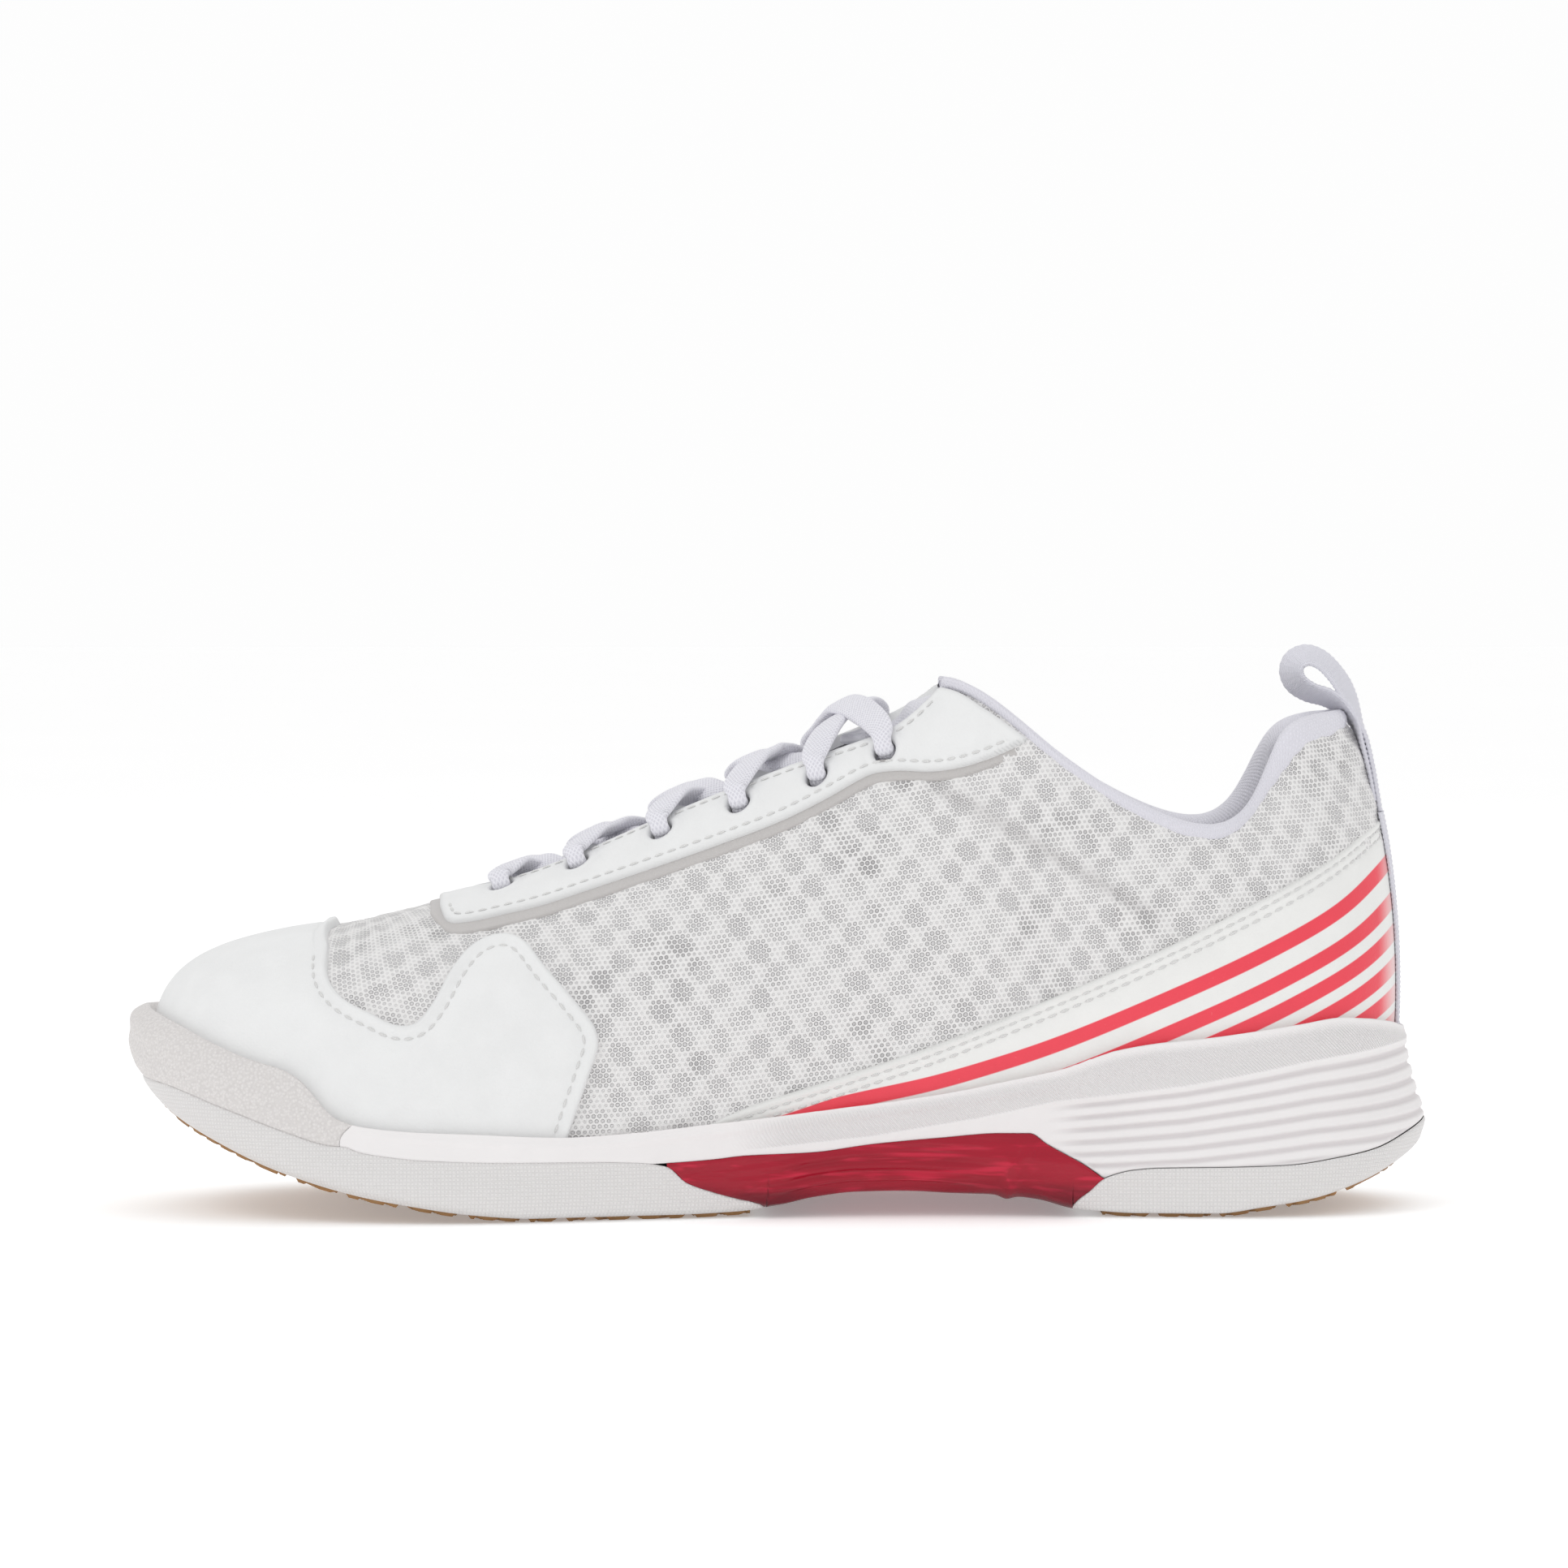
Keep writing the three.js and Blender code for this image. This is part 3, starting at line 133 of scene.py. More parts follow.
SHANK_UPPER = [
    (-15, 13.7), (-8, 14.4), (6.6, 14.9), (21, 16.7), (35.5, 18), (50, 19.1), (56, 19.1), (60, 16.7), (68, 12.3),
    (72.6, 9),
]
SHANK_REAR = [(69.5, 6.2), (66.8, 3.9)]
HEEL_CUP_UPPER = [
    (79.3, 11), (85.2, 11.5), (102.7, 11.8), (114, 12.1), (126, 13.5), (135, 15), (143.5, 18), (150, 20.5),
]


# ---------------------------------------------------------------- curves
def hermite(a, b, slope_a, slope_b, t):
    u = t * t * (3 - 2 * t)
    return a * (1 - u) + b * u + slope_a * t * (1 - t) ** 2 - slope_b * t * t * (1 - t)


def profile(points):
    """A smooth height over x that never overshoots its points."""
    xs, zs = np.array(points, float).T
    chord = np.diff(zs) / np.diff(xs)
    a, b = chord[:-1], chord[1:]
    same = a * b > 0
    middle = np.where(same, 2 * a * b / np.where(same, a + b, 1), 0)
    slope = np.concatenate([chord[:1], middle, chord[-1:]])

    def at(x):
        x = np.asarray(x, float)
        i = np.clip(np.searchsorted(xs, x, side="right") - 1, 0, len(xs) - 2)
        width = xs[i + 1] - xs[i]
        t = (x - xs[i]) / width
        inside = hermite(zs[i], zs[i + 1], slope[i] * width, slope[i + 1] * width, np.clip(t, 0, 1))
        return inside + slope[0] * width * np.minimum(t, 0) + slope[-1] * width * np.maximum(t - 1, 0)

    return at


footbed = profile([
    (-150, 35), (-142, 33), (-125, 26), (-100, 18), (-75, 14), (-50, 12.5), (-25, 13.5), (0, 16), (25, 19), (50, 22),
    (75, 24.5), (100, 26.5), (125, 28), (140, 29),
])
rim_bottom = profile([
    (-149, 34), (-144, 28.2), (-139, 24.4), (-126, 17.4), (-112, 11.4), (-95, 6.4), (-83, 4.1), (-68, 1.9), (-55, 1),
    (-24, 1), (-11, 1.4), (0, 2.6), (7, 4.2), (17, 5.5), (28, 5.8), (39, 5.4), (50, 4.8), (58, 3.9), (66, 1.9),
    (72, 1.4), (80, 1), (98, 1), (109, 2.4), (120, 4.1), (132, 7.5), (145, 12.6), (150, 15),
])
wall_top = profile([
    (-143, 46.1), (-133, 42.4), (-126, 39.3), (-117, 35.9), (-110, 33.9), (-106.5, 31.8), (-103.2, 28.4),
    (-100.5, 25.3), (-98, 23.6), (-93, 22.1), (-82, 21), (-68, 20.4), (-49, 19.6), (-32, 20.5), (-19, 21.8),
    (-6, 23.1), (10, 25), (25, 26.8), (38, 28.7), (51, 31.3), (63, 34), (75, 38.2), (85, 40), (95, 41),
    (106, 42.4), (116, 43.8), (125, 45), (130, 44.5), (137, 43), (141, 41),
])
throat_half = profile(THROAT_WIDTHS)


def closed_spline(points):
    """A closed curve with continuous curvature; the result takes an array of positions."""
    p = np.array(points, float)
    n = len(p)
    system = 4 * np.eye(n) + np.roll(np.eye(n), 1, 0) + np.roll(np.eye(n), -1, 0)
    slopes = np.linalg.solve(system, 3 * (np.roll(p, -1, 0) - np.roll(p, 1, 0)))

    def at(s):
        s = np.mod(np.asarray(s, float), n)
        i = np.floor(s).astype(int) % n
        j = (i + 1) % n
        return hermite(p[i], p[j], slopes[i], slopes[j], (s - i)[..., None])

    return at


def smooth_path(points, count):
    """Centripetal Catmull-Rom through points of any dimension, resampled evenly by length."""
    p = np.array(points, float)
    p = np.vstack([2 * p[0] - p[1], p, 2 * p[-1] - p[-2]])
    knots = np.concatenate([[0], np.cumsum(np.linalg.norm(np.diff(p, axis=0), axis=1) ** 0.5)])
    fine = []
    for i in range(1, len(p) - 2):
        t = np.linspace(knots[i], knots[i + 1], 24, endpoint=False)[:, None]
        a = [
            ((knots[k + 1] - t) * p[k] + (t - knots[k]) * p[k + 1]) / (knots[k + 1] - knots[k])
            for k in (i - 1, i, i + 1)
        ]
        b = [
            ((knots[k + 2] - t) * a[k - i + 1] + (t - knots[k]) * a[k - i + 2]) / (knots[k + 2] - knots[k])
            for k in (i - 1, i)
        ]
        fine.append(((knots[i + 1] - t) * b[0] + (t - knots[i]) * b[1]) / (knots[i + 1] - knots[i]))
    fine = np.vstack([*fine, p[-2:-1]])
    return resample(fine, count)


def run_of(points):
    """The length along a polyline at each of its points."""
    return np.concatenate([[0], np.cumsum(np.linalg.norm(np.diff(points, axis=0), axis=1))])


def at_length(points, run, length):
    """The points of a polyline at the given lengths along it."""
    return np.stack([np.interp(length, run, column) for column in points.T], -1)


def resample(points, count):
    """The polyline with count points, evenly spaced."""
    run = run_of(points)
    return at_length(points, run, np.linspace(0, run[-1], count))


def unit(v):
    return v / np.maximum(np.linalg.norm(v, axis=-1, keepdims=True), 1e-12)


def ease(t):
    t = np.clip(t, 0, 1)
    return t * t * (3 - 2 * t)


def fade(x, start, end):
    return ease((x - start) / (end - start))


def bell(distance, width):
    return np.exp(-((distance / width) ** 2))


def rounded(distance, radius):
    """A quarter circle, from 0 at an edge to 1 at the radius."""
    return np.sqrt(1 - (1 - np.clip(distance / radius, 0, 1)) ** 2)


def full_turn(count):
    return np.linspace(0, 2 * np.pi, count, endpoint=False)


def squared(value, power):
    """A sine or cosine pushed outwards, which makes a round section flat."""
    return np.sign(value) * np.abs(value) ** power


# ---------------------------------------------------------------- the upper's surface
ORDER = [(j, 0) if j <= HEEL else (LOOP - j, 1) for j in range(LOOP)]
BASE = np.array([STATIONS[i][side] for i, side in ORDER], float)


def rib(j):
    i, side = ORDER[j]
    _, _, top, half, low, high = STATIONS[i]
    bx, by = BASE[j]
    top = np.array([top[0], top[1] + (half if side else -half), top[2]])
    base = np.array([bx, by, footbed(bx)])
    along = BASE[(j + 1) % LOOP] - BASE[j - 1]
    out = np.array([along[1], -along[0]]) / np.hypot(*along)
    rise = top[2] - base[2]
    first = base + np.array([out[0] * low[0], out[1] * low[0], rise * low[1]])
    share, extra, drop = high
    if i > INSTEP:
        return [base, first, top + np.array([out[0] * extra, out[1] * extra, -drop]), top]
    fan = max(0, 1 - i / 4)
    d = np.array([(bx - top[0]) * fan, by - top[1]])
    reach = share * math.hypot(bx - top[0], by - top[1]) / math.hypot(*d)
    before, after = STATIONS[max(0, i - 1)][2], STATIONS[i + 1][2]
    slope = TOE_SLOPE if i == 0 else (after[2] - before[2]) / (after[0] - before[0])
    return [base, first, top + np.array([d[0] * reach, d[1] * reach, d[0] * reach * slope]), top]


RIBS = closed_spline([np.ravel(rib(j)) for j in range(LOOP)])
OUTLINE = closed_spline([(SOLE_LATERAL if side else SOLE_MEDIAL)[i] for i, side in ORDER])


def surface(s, v):
    s, v = np.broadcast_arrays(np.asarray(s, float), np.asarray(v, float))
    c = RIBS(s).reshape(*s.shape, 4, 3)
    w = np.stack([(1 - v) ** 3, 3 * v * (1 - v) ** 2, 3 * v * v * (1 - v), v ** 3], -1)
    return (w[..., None] * c).sum(-2)


def side_normal(s, v):
    at = np.minimum(v, 0.985)
    along = surface(s + 0.02, at) - surface(s - 0.02, at)
    up = surface(s, at + 0.012) - surface(s, np.maximum(0, at - 0.012))
    return unit(np.cross(along, up))


def place(s, v, off=0.0, lift=None):
    """Points off the upper's surface, and beyond the top line along the rib by lift. Near the ridge the two
    sides share one normal."""
    s, v = np.broadcast_arrays(np.mod(np.asarray(s, float), LOOP), np.asarray(v, float))
    n = side_normal(s, v)
    station = np.minimum(s, LOOP - s)
    shared = unit(side_normal(station, 1.0) + side_normal(LOOP - station, 1.0))
    weight = ease((v - 0.9) / 0.1) * (1 - ease((station - INSTEP) / 0.4))
    n = unit(n + (shared - n) * weight[..., None])
    p = surface(s, v) + n * np.asarray(off)[..., None]
    if lift is not None:
        p = p + unit(surface(s, v) - surface(s, v - 0.02)) * np.asarray(lift)[..., None]
    return p


class Upper:
    """Chart (a, b): a is the station, b the height share on the medial side and 2 minus it on the lateral."""

    scale = (18, 75)  # about how many mm a unit of a and of b measures

    @staticmethod
    def sv(a, b):
        return np.where(b <= 1, a, LOOP - a), np.clip(np.where(b <= 1, b, 2 - b), 0, 1)

    @staticmethod
    def at(a, b, off=0.0):
        return place(*Upper.sv(a, b), off)

    @staticmethod
    def texture(a, b):
        """Millimetres along the shoe and up the rib."""
        s, v = Upper.sv(a, b)
        steps = np.linspace(0, 1, 25)
        rib_points = surface(s[:, None], v[:, None] * steps)
        up = np.linalg.norm(np.diff(rib_points, axis=1), axis=2).sum(1)
        return np.stack([np.interp(a, MIDDLE_A, MIDDLE_LENGTH), np.where(b <= 1, up, 400 - up)], 1)


MIDDLE_A = np.linspace(0, HEEL, 400)
MIDDLE_LENGTH = run_of(surface(MIDDLE_A, 0.5))


def finder(chart_at, us, vs, axes):
    """Inverse of a chart seen along one axis: from two coordinates back to the chart's (u, v)."""
    grid_u, grid_v = [g.ravel() for g in np.meshgrid(us, vs, indexing="ij")]
    grid = chart_at(grid_u, grid_v)[:, axes]

    def find(points):
        points = np.array(points, float)
        nearest = np.argmin(((points[:, None] - grid[None]) ** 2).sum(2), 1)
        u, v = grid_u[nearest].copy(), grid_v[nearest].copy()
        for _ in range(6):
            here = chart_at(u, v)[:, axes]
            du = (chart_at(u + 1e-3, v)[:, axes] - here) / 1e-3
            dv = (here - chart_at(u, v - 1e-3)[:, axes]) / 1e-3
            miss = points - here
            det = du[:, 0] * dv[:, 1] - du[:, 1] * dv[:, 0]
            det = np.where(np.abs(det) < 1e-3, 1e-3, det)
            step_u = (miss[:, 0] * dv[:, 1] - miss[:, 1] * dv[:, 0]) / det
            step_v = (du[:, 0] * miss[:, 1] - du[:, 1] * miss[:, 0]) / det
            u = np.clip(u + np.clip(step_u, -0.2, 0.2), us[0], us[-1])
            v = np.clip(v + np.clip(step_v, -0.05, 0.05), min(vs), max(vs))
        return np.stack([u, v], 1)

    return find


STATION_GRID = np.linspace(0.02, HEEL - 0.02, 240)
side_find = finder(Upper.at, STATION_GRID, np.linspace(0.02, 0.998, 70), [0, 2])
side_find_lateral = finder(Upper.at, STATION_GRID, np.linspace(1.002, 1.98, 70), [0, 2])
plan_find = finder(Upper.at, STATION_GRID, np.linspace(0.5, 1, 50), [0, 1])
plan_find_lateral = finder(Upper.at, STATION_GRID, np.linspace(1, 1.5, 50), [0, 1])


def on_side(points, lateral, count=0):
    """Chart points of a curve drawn in side view, optionally resampled first."""
    points = smooth_path(points, count) if count else points
    return (side_find_lateral if lateral else side_find)(points)


def in_plan(points):
    points = np.array(points, float)
    found = np.empty_like(points)
    lateral = points[:, 1] > surface_ridge_y(points[:, 0])
    if (~lateral).any():
        found[~lateral] = plan_find(points[~lateral])
    if lateral.any():
        found[lateral] = plan_find_lateral(points[lateral])
    return found


def surface_ridge_y(x):
    ridge = surface(np.linspace(0, INSTEP, 60), 1.0)
    return np.interp(x, ridge[:, 0], ridge[:, 1])


# ---------------------------------------------------------------- the sole's wall
LIP = 3.2  # how far the wall's top edge stands off the upper
WALL_TOP, WALL_END = 6.0, 7.0  # heights in the wall's chart: its top edge, and where it meets the upper


def outline_normal(s):
    along = OUTLINE(s + 0.05) - OUTLINE(s - 0.05)
    return unit(np.stack([along[:, 1], -along[:, 0], np.zeros(len(s))], 1))


def outline_point(s, inset):
    plan = OUTLINE(s)
    return np.stack([plan[:, 0], plan[:, 1], np.zeros(len(s))], 1) - outline_normal(s) * np.reshape(inset, (-1, 1))


def crossing(point, s, top, steps, height_at):
    """How far up a chart each column reaches the height that height_at gives for its x."""
    low, high = np.zeros_like(s), np.full_like(s, top)
    for _ in range(steps):
        middle = (low + high) / 2
        p = point(s, middle)
        under = p[:, 2] < height_at(p[:, 0])
        low, high = np.where(under, middle, low), np.where(under, high, middle)
    return (low + high) / 2


def share_at(s, height_at):
    return crossing(surface, s, 0.7, 18, height_at)


def wall_ring(s, inset, share):
    x = OUTLINE(s)[:, 0]
    p = outline_point(s, inset[0] + inset[1] * (x + 149) / 298)
    p[:, 2] = rim_bottom(p[:, 0]) + share * (wall_top(p[:, 0]) - rim_bottom(p[:, 0]))
    skin = place(s, share_at(s, lambda _: p[:, 2]), LIP)
    out = outline_normal(s)
    gap = ((skin - p)[:, :2] * out[:, :2]).sum(1)
    return p + out * np.maximum(0, gap)[:, None]


class Wall:
    """Chart (s, h): h is 0 under the rim, 6 at the wall's top edge and 7 where it tucks in against the upper."""

    scale = (17, 6)  # about how many mm a unit of s and of h measures

    @staticmethod
    def rings(s):
        def bottom(inset, lift):
            p = outline_point(s, inset)
            p[:, 2] = rim_bottom(p[:, 0]) + lift
            return p

        lip = share_at(s, wall_top)
        tuck = share_at(s, lambda x: wall_top(x) - 1.6)
        return np.stack([
            bottom(7.5, 0.6), bottom(4.5, 0), bottom(1.2, 2.4), wall_ring(s, (0, 0), 0.3),
            wall_ring(s, (0.3, 1.2), 0.52), wall_ring(s, (0.6, 2.6), 0.76), place(s, lip, LIP), place(s, tuck, 1.0),
        ])

    @staticmethod
    def at(s, h, off=0.0):
        p = Wall.point(s, h)
        return p + Wall.normal(s, h) * np.asarray(off)[..., None]

    @staticmethod
    def point(s, h):
        s, h = np.broadcast_arrays(np.asarray(s, float), np.asarray(h, float))
        rings = WALL_RINGS(s)
        i = np.clip(np.floor(h).astype(int), 0, 6)
        t = (h - i)[:, None]
        pick = lambda k: rings[np.arange(len(s)), np.clip(k, 0, 7)]
        a, b = pick(i), pick(i + 1)
        slope_a = (b - pick(i - 1)) / 2
        slope_b = (pick(i + 2) - a) / 2
        slope_b = np.where((i == 5)[:, None], (b - a) * 0.9, slope_b)
        slope_a = np.where((i == 6)[:, None], b - a, slope_a)
        return hermite(a, b, slope_a, slope_b, t)

    @staticmethod
    def normal(s, h):
        at = np.clip(h, 0.03, 5.96)
        along = Wall.point(s + 0.03, at) - Wall.point(s - 0.03, at)
        up = Wall.point(s, at + 0.03) - Wall.point(s, at - 0.03)
        return unit(np.cross(along, up))

    @staticmethod
    def texture(s, h):
        p = Wall.point(s, h)
        return np.stack([np.interp(s, WALL_S, WALL_LENGTH), p[:, 2]], 1)


def ring_table():
    """The wall's rings, tabulated finely round the loop and read back by linear steps."""
    s = np.linspace(0, LOOP, LOOP * 24 + 1)
    table = Wall.rings(s).transpose(1, 0, 2)

    def at(query):
        q = np.mod(query, LOOP) * 24
        i = np.clip(np.floor(q).astype(int), 0, len(s) - 2)
        f = (q - i)[:, None, None]
        return table[i] * (1 - f) + table[i + 1] * f

    return at


WALL_RINGS = ring_table()
WALL_S = np.linspace(-HEEL, LOOP, 900)
WALL_LENGTH = run_of(Wall.point(WALL_S, 3.0))


def level(s, height_at):
    """The wall position h at which each column of the wall reaches the side-view line z = height_at(x)."""
    return crossing(Wall.point, s, WALL_TOP, 24, height_at)


# ---------------------------------------------------------------- patches
EDGE_STEP = 0.9  # between the points along a panel's edge


def inside(points, loops):
    """Even-odd test of 2-D points against closed loops."""
    count = np.zeros(len(points), int)
    for loop in loops:
        a, b = loop, np.roll(loop, -1, 0)
        for (x0, y0), (x1, y1) in zip(a, b):
            crosses = (y0 > points[:, 1]) != (y1 > points[:, 1])
            if crosses.any():
                x = x0 + (points[:, 1] - y0) * (x1 - x0) / ((y1 - y0) or 1e-12)
                count += crosses & (points[:, 0] < x)
    return count % 2 == 1


def to_segments(points, a, b):
    """Distance from each point to the nearest of the segments a-b, in 3-D."""
    best = np.full(len(points), 1e9)
    ab = b - a
    size = np.maximum((ab * ab).sum(1), 1e-12)
    for start in range(0, len(points), 2000):
        p = points[start:start + 2000]
        t = np.clip(((p[:, None] - a[None]) * ab[None]).sum(2) / size, 0, 1)
        d = p[:, None] - (a[None] + t[..., None] * ab[None])
        best[start:start + 2000] = np.sqrt((d * d).sum(2)).min(1)
    return best


def inset(chart, loop, distance, turn=1):
    """Moves chart points sideways by a true distance; turn 1 is to the left of the loop's direction."""
    u, v = loop.T
    here = chart.at(u, v)
    du = (chart.at(u + 1e-3, v) - chart.at(u - 1e-3, v)) / 2e-3
    dv = (chart.at(u, v + 1e-3) - chart.at(u, v - 1e-3)) / 2e-3
    normal = unit(np.cross(du, dv))
    along = unit(np.gradient(here, axis=0))
    aside = np.cross(normal, along) * turn * distance
    guu, guv, gvv = (du * du).sum(1), (du * dv).sum(1), (dv * dv).sum(1)
    pu, pv = (du * aside).sum(1), (dv * aside).sum(1)
    det = guu * gvv - guv * guv
    with np.errstate(divide="ignore", invalid="ignore"):  # the chart has no direction where a rib has no length
        return np.stack([u + (pu * gvv - pv * guv) / det, v + (pv * guu - pu * guv) / det], 1)


def even(chart, loop, step):
    """A chart polyline resampled so that its points lie about step mm apart."""
    dense = resample(np.array(loop, float) * chart.scale, 400) / chart.scale
    run = run_of(chart.at(dense[:, 0], dense[:, 1]))
    return at_length(dense, run, np.linspace(0, run[-1], max(3, int(run[-1] / step) + 1)))


def link(a, b, is_edge=False):
    """A straight side of a panel between two chart points."""
    return np.array([a, b]), is_edge


def panel_loops(chart, sides, holes, step):
    """A panel's closed loops, which of their steps are real edges, and those steps in space, from a to b."""
    parts = [(even(chart, line, step), is_edge) for line, is_edge in sides]
    loops = [np.vstack([p[:-1] for p, _ in parts]), *holes]
    flags = [np.concatenate([np.full(len(p) - 1, is_edge) for p, is_edge in parts])]
    flags += [np.ones(len(hole), bool) for hole in holes]
    placed = [chart.at(line[:, 0], line[:, 1]) for line in loops]
    a = np.vstack([p[flag] for p, flag in zip(placed, flags)])
    b = np.vstack([np.roll(p, -1, 0)[flag] for p, flag in zip(placed, flags)])
    return loops, flags, a, b


def field_points(chart, loops, a, b, spacing, margin):
    """A staggered grid inside the loops that keeps a margin to the real edges."""
    scale = np.array(chart.scale, float)
    low, high = loops[0].min(0), loops[0].max(0)
    nu, nv = [max(2, int((high[k] - low[k]) * scale[k] / spacing)) for k in (0, 1)]
    us, vs = np.linspace(low[0], high[0], nu), np.linspace(low[1], high[1], int(nv * 1.15))
    gu, gv = np.meshgrid(us, vs, indexing="ij")
    gu = gu + (np.arange(gv.shape[1]) % 2)[None] * (us[1] - us[0]) / 2
    grid = np.stack([gu.ravel(), gv.ravel()], 1)
    grid = grid[inside(grid, loops)]
    distance = to_segments(chart.at(*grid.T), a, b)
    border = to_loops(grid, loops, scale)
    return grid[(distance > margin + spacing * 0.35) & (border > spacing * 0.4)]


def ring_points(chart, loops, flags, a, b, rings):
    """Points that follow the real edges at the given distances, where the panel's edge is rounded."""
    found = []
    for line, flag in zip(loops, flags):
        closed = np.vstack([line, line[:1]])
        for r in rings:
            for turn in (1, -1):
                moved = inset(chart, closed, r, turn)[:-1][flag]
                moved = moved[inside(moved, loops)]
                if len(moved):
                    far = to_segments(chart.at(*moved.T), a, b)
                    border = to_loops(moved, loops, np.array(chart.scale, float))
                    found.append(moved[(far > r * 0.85) & (border > 0.05)])
    return found


def triangulate(points, loops, scale):
    """Triangles between chart points, inside the loops that the first of the points make up."""
    edges, start = [], 0
    for line in loops:
        n = len(line)
        edges += [(start + k, start + (k + 1) % n) for k in range(n)]
        start += n
    scaled = [Vector((float(x), float(y))) for x, y in points * scale]
    out = delaunay_2d_cdt(scaled, edges, [], 0, 1e-5)
    verts = np.array([(p.x, p.y) for p in out[0]]) / scale
    tris = np.array([f for f in out[2] if len(f) == 3])
    return verts, tris[inside(verts[tris].mean(1), loops)]


def patch(name, chart, sides, height, spacing=2.0, holes=(), skirt=-1.0, rings=(0.15, 0.4, 0.8, 1.3), relief=None,
          marks=None):
    """A panel that lies on a chart. sides is a list of (polyline, is_edge); height maps the distance from the
    edge to the offset; skirt is how deep the panel's edge is folded down; relief adds height by position."""
    loops, flags, a, b = panel_loops(chart, sides, holes, EDGE_STEP)
    field = field_points(chart, loops, a, b, spacing, max(rings))
    points = np.vstack([*loops, *ring_points(chart, loops, flags, a, b, rings), field])
    verts, tris = triangulate(points, loops, np.array(chart.scale, float))
    u, v = verts.T
    base = chart.at(u, v)
    d = to_segments(base, a, b)
    off = height(d)
    if relief is not None:
        off = off + relief(u, v, base, d)
    top = chart.at(u, v, off)
    flat = np.cross(top[tris[:, 1]] - top[tris[:, 0]], top[tris[:, 2]] - top[tris[:, 0]])
    facing = (flat * (chart.at(u, v, off + 1) - top)[tris[:, 0]]).sum(1).sum() > 0
    faces = [tuple(t) for t in (tris if facing else tris[:, ::-1]).tolist()]
    if skirt is not None:
        rim, folded = folded_edge(faces, base, a, b)
        top = np.vstack([top, chart.at(u[rim], v[rim], skirt)])
        d, u, v = [np.concatenate([values, values[rim]]) for values in (d, u, v)]
        faces = faces + folded
    mesh = make_mesh(name, top, faces, chart.texture(u, v))
    attribute(mesh, "edge", d)
    if marks is not None:
        for key, values in marks(u, v, chart.at(u, v)).items():
            attribute(mesh, key, values)
    weld(mesh)
    return obj_of(name, mesh)


def to_loops(points, loops, scale):
    """Distance from chart points to the nearest loop, in the chart's scale."""
    flat = lambda p: np.hstack([p * scale, np.zeros((len(p), 1))])
    after = [np.roll(line, -1, 0) for line in loops]
    return to_segments(flat(points), flat(np.vstack(loops)), flat(np.vstack(after)))


def folded_edge(faces, base, a, b):
    """The vertices on a panel's real edges, and the faces that fold down from them to copies placed last."""
    used = dict.fromkeys((f[i], f[(i + 1) % 3]) for f in faces for i in range(3))
    border = [k for k in used if (k[1], k[0]) not in used]
    real = to_segments(np.array([(base[i] + base[j]) / 2 for i, j in border]), a, b) < 0.05
    border = [k for k, keep in zip(border, real) if keep]
    rim = sorted({i for k in border for i in k})
    index = {i: len(base) + n for n, i in enumerate(rim)}
    return np.array(rim, int), [(j, i, index[i], index[j]) for i, j in border]


def make_mesh(name, points, faces, texture=None):
    mesh = bpy.data.meshes.new(name)
    mesh.from_pydata((np.asarray(points) * MM).tolist(), [], faces)
    mesh.update()
    mesh.polygons.foreach_set("use_smooth", np.ones(len(mesh.polygons), bool))
    if texture is not None:
        layer = mesh.uv_layers.new(name="mm")
        corner = np.empty(len(mesh.loops), int)
        mesh.loops.foreach_get("vertex_index", corner)
        layer.data.foreach_set("uv", np.asarray(texture, float)[corner].ravel())
    return mesh


def attribute(mesh, name, values):
    made = mesh.attributes.new(name, "FLOAT", "POINT")
    made.data.foreach_set("value", np.asarray(values, np.float32))


def weld(mesh, distance=0.02):
    bm = bmesh.new()
    bm.from_mesh(mesh)
    border = [v for v in bm.verts if v.is_boundary]
    bmesh.ops.remove_doubles(bm, verts=border, dist=distance * MM)
    bm.to_mesh(mesh)
    bm.free()


def obj_of(name, mesh):
    made = bpy.data.objects.new(name, mesh)
    bpy.context.scene.collection.objects.link(made)
    return made


def grid_piece(name, points, texture=None, close_v=False, marks=None):
    """A mesh from an array of points (rows, columns, 3)."""
    rows, cols = points.shape[:2]
    faces = []
    for i in range(rows - 1):
        for j in range(cols if close_v else cols - 1):
            q = (j + 1) % cols
            faces.append((i * cols + j, i * cols + q, (i + 1) * cols + q, (i + 1) * cols + j))
    flat = None if texture is None else texture.reshape(-1, 2)
    mesh = make_mesh(name, points.reshape(-1, 3), faces, flat)
    for key, values in (marks or {}).items():
        attribute(mesh, key, np.ravel(values))
    return obj_of(name, mesh)


def sheet(run, across):
    """Texture of a grid whose rows lie at run and whose columns lie at across."""
    return np.stack(np.meshgrid(run, across, indexing="ij"), 2)


def capped(made):
    """Closes the open ends of a tube."""
    bm = bmesh.new()
    bm.from_mesh(made.data)
    bmesh.ops.holes_fill(bm, edges=[e for e in bm.edges if e.is_boundary])
    bm.to_mesh(made.data)
    bm.free()
    return made


# ---------------------------------------------------------------- materials
class Value:
    """A shader's socket that can stand in arithmetic."""

    def __init__(self, shader, socket):
        self.shader, self.socket = shader, socket

    def __add__(self, other):
        return self.shader.math("ADD", self, other)

    def __sub__(self, other):
        return self.shader.math("SUBTRACT", self, other)

    def __mul__(self, other):
        return self.shader.math("MULTIPLY", self, other)


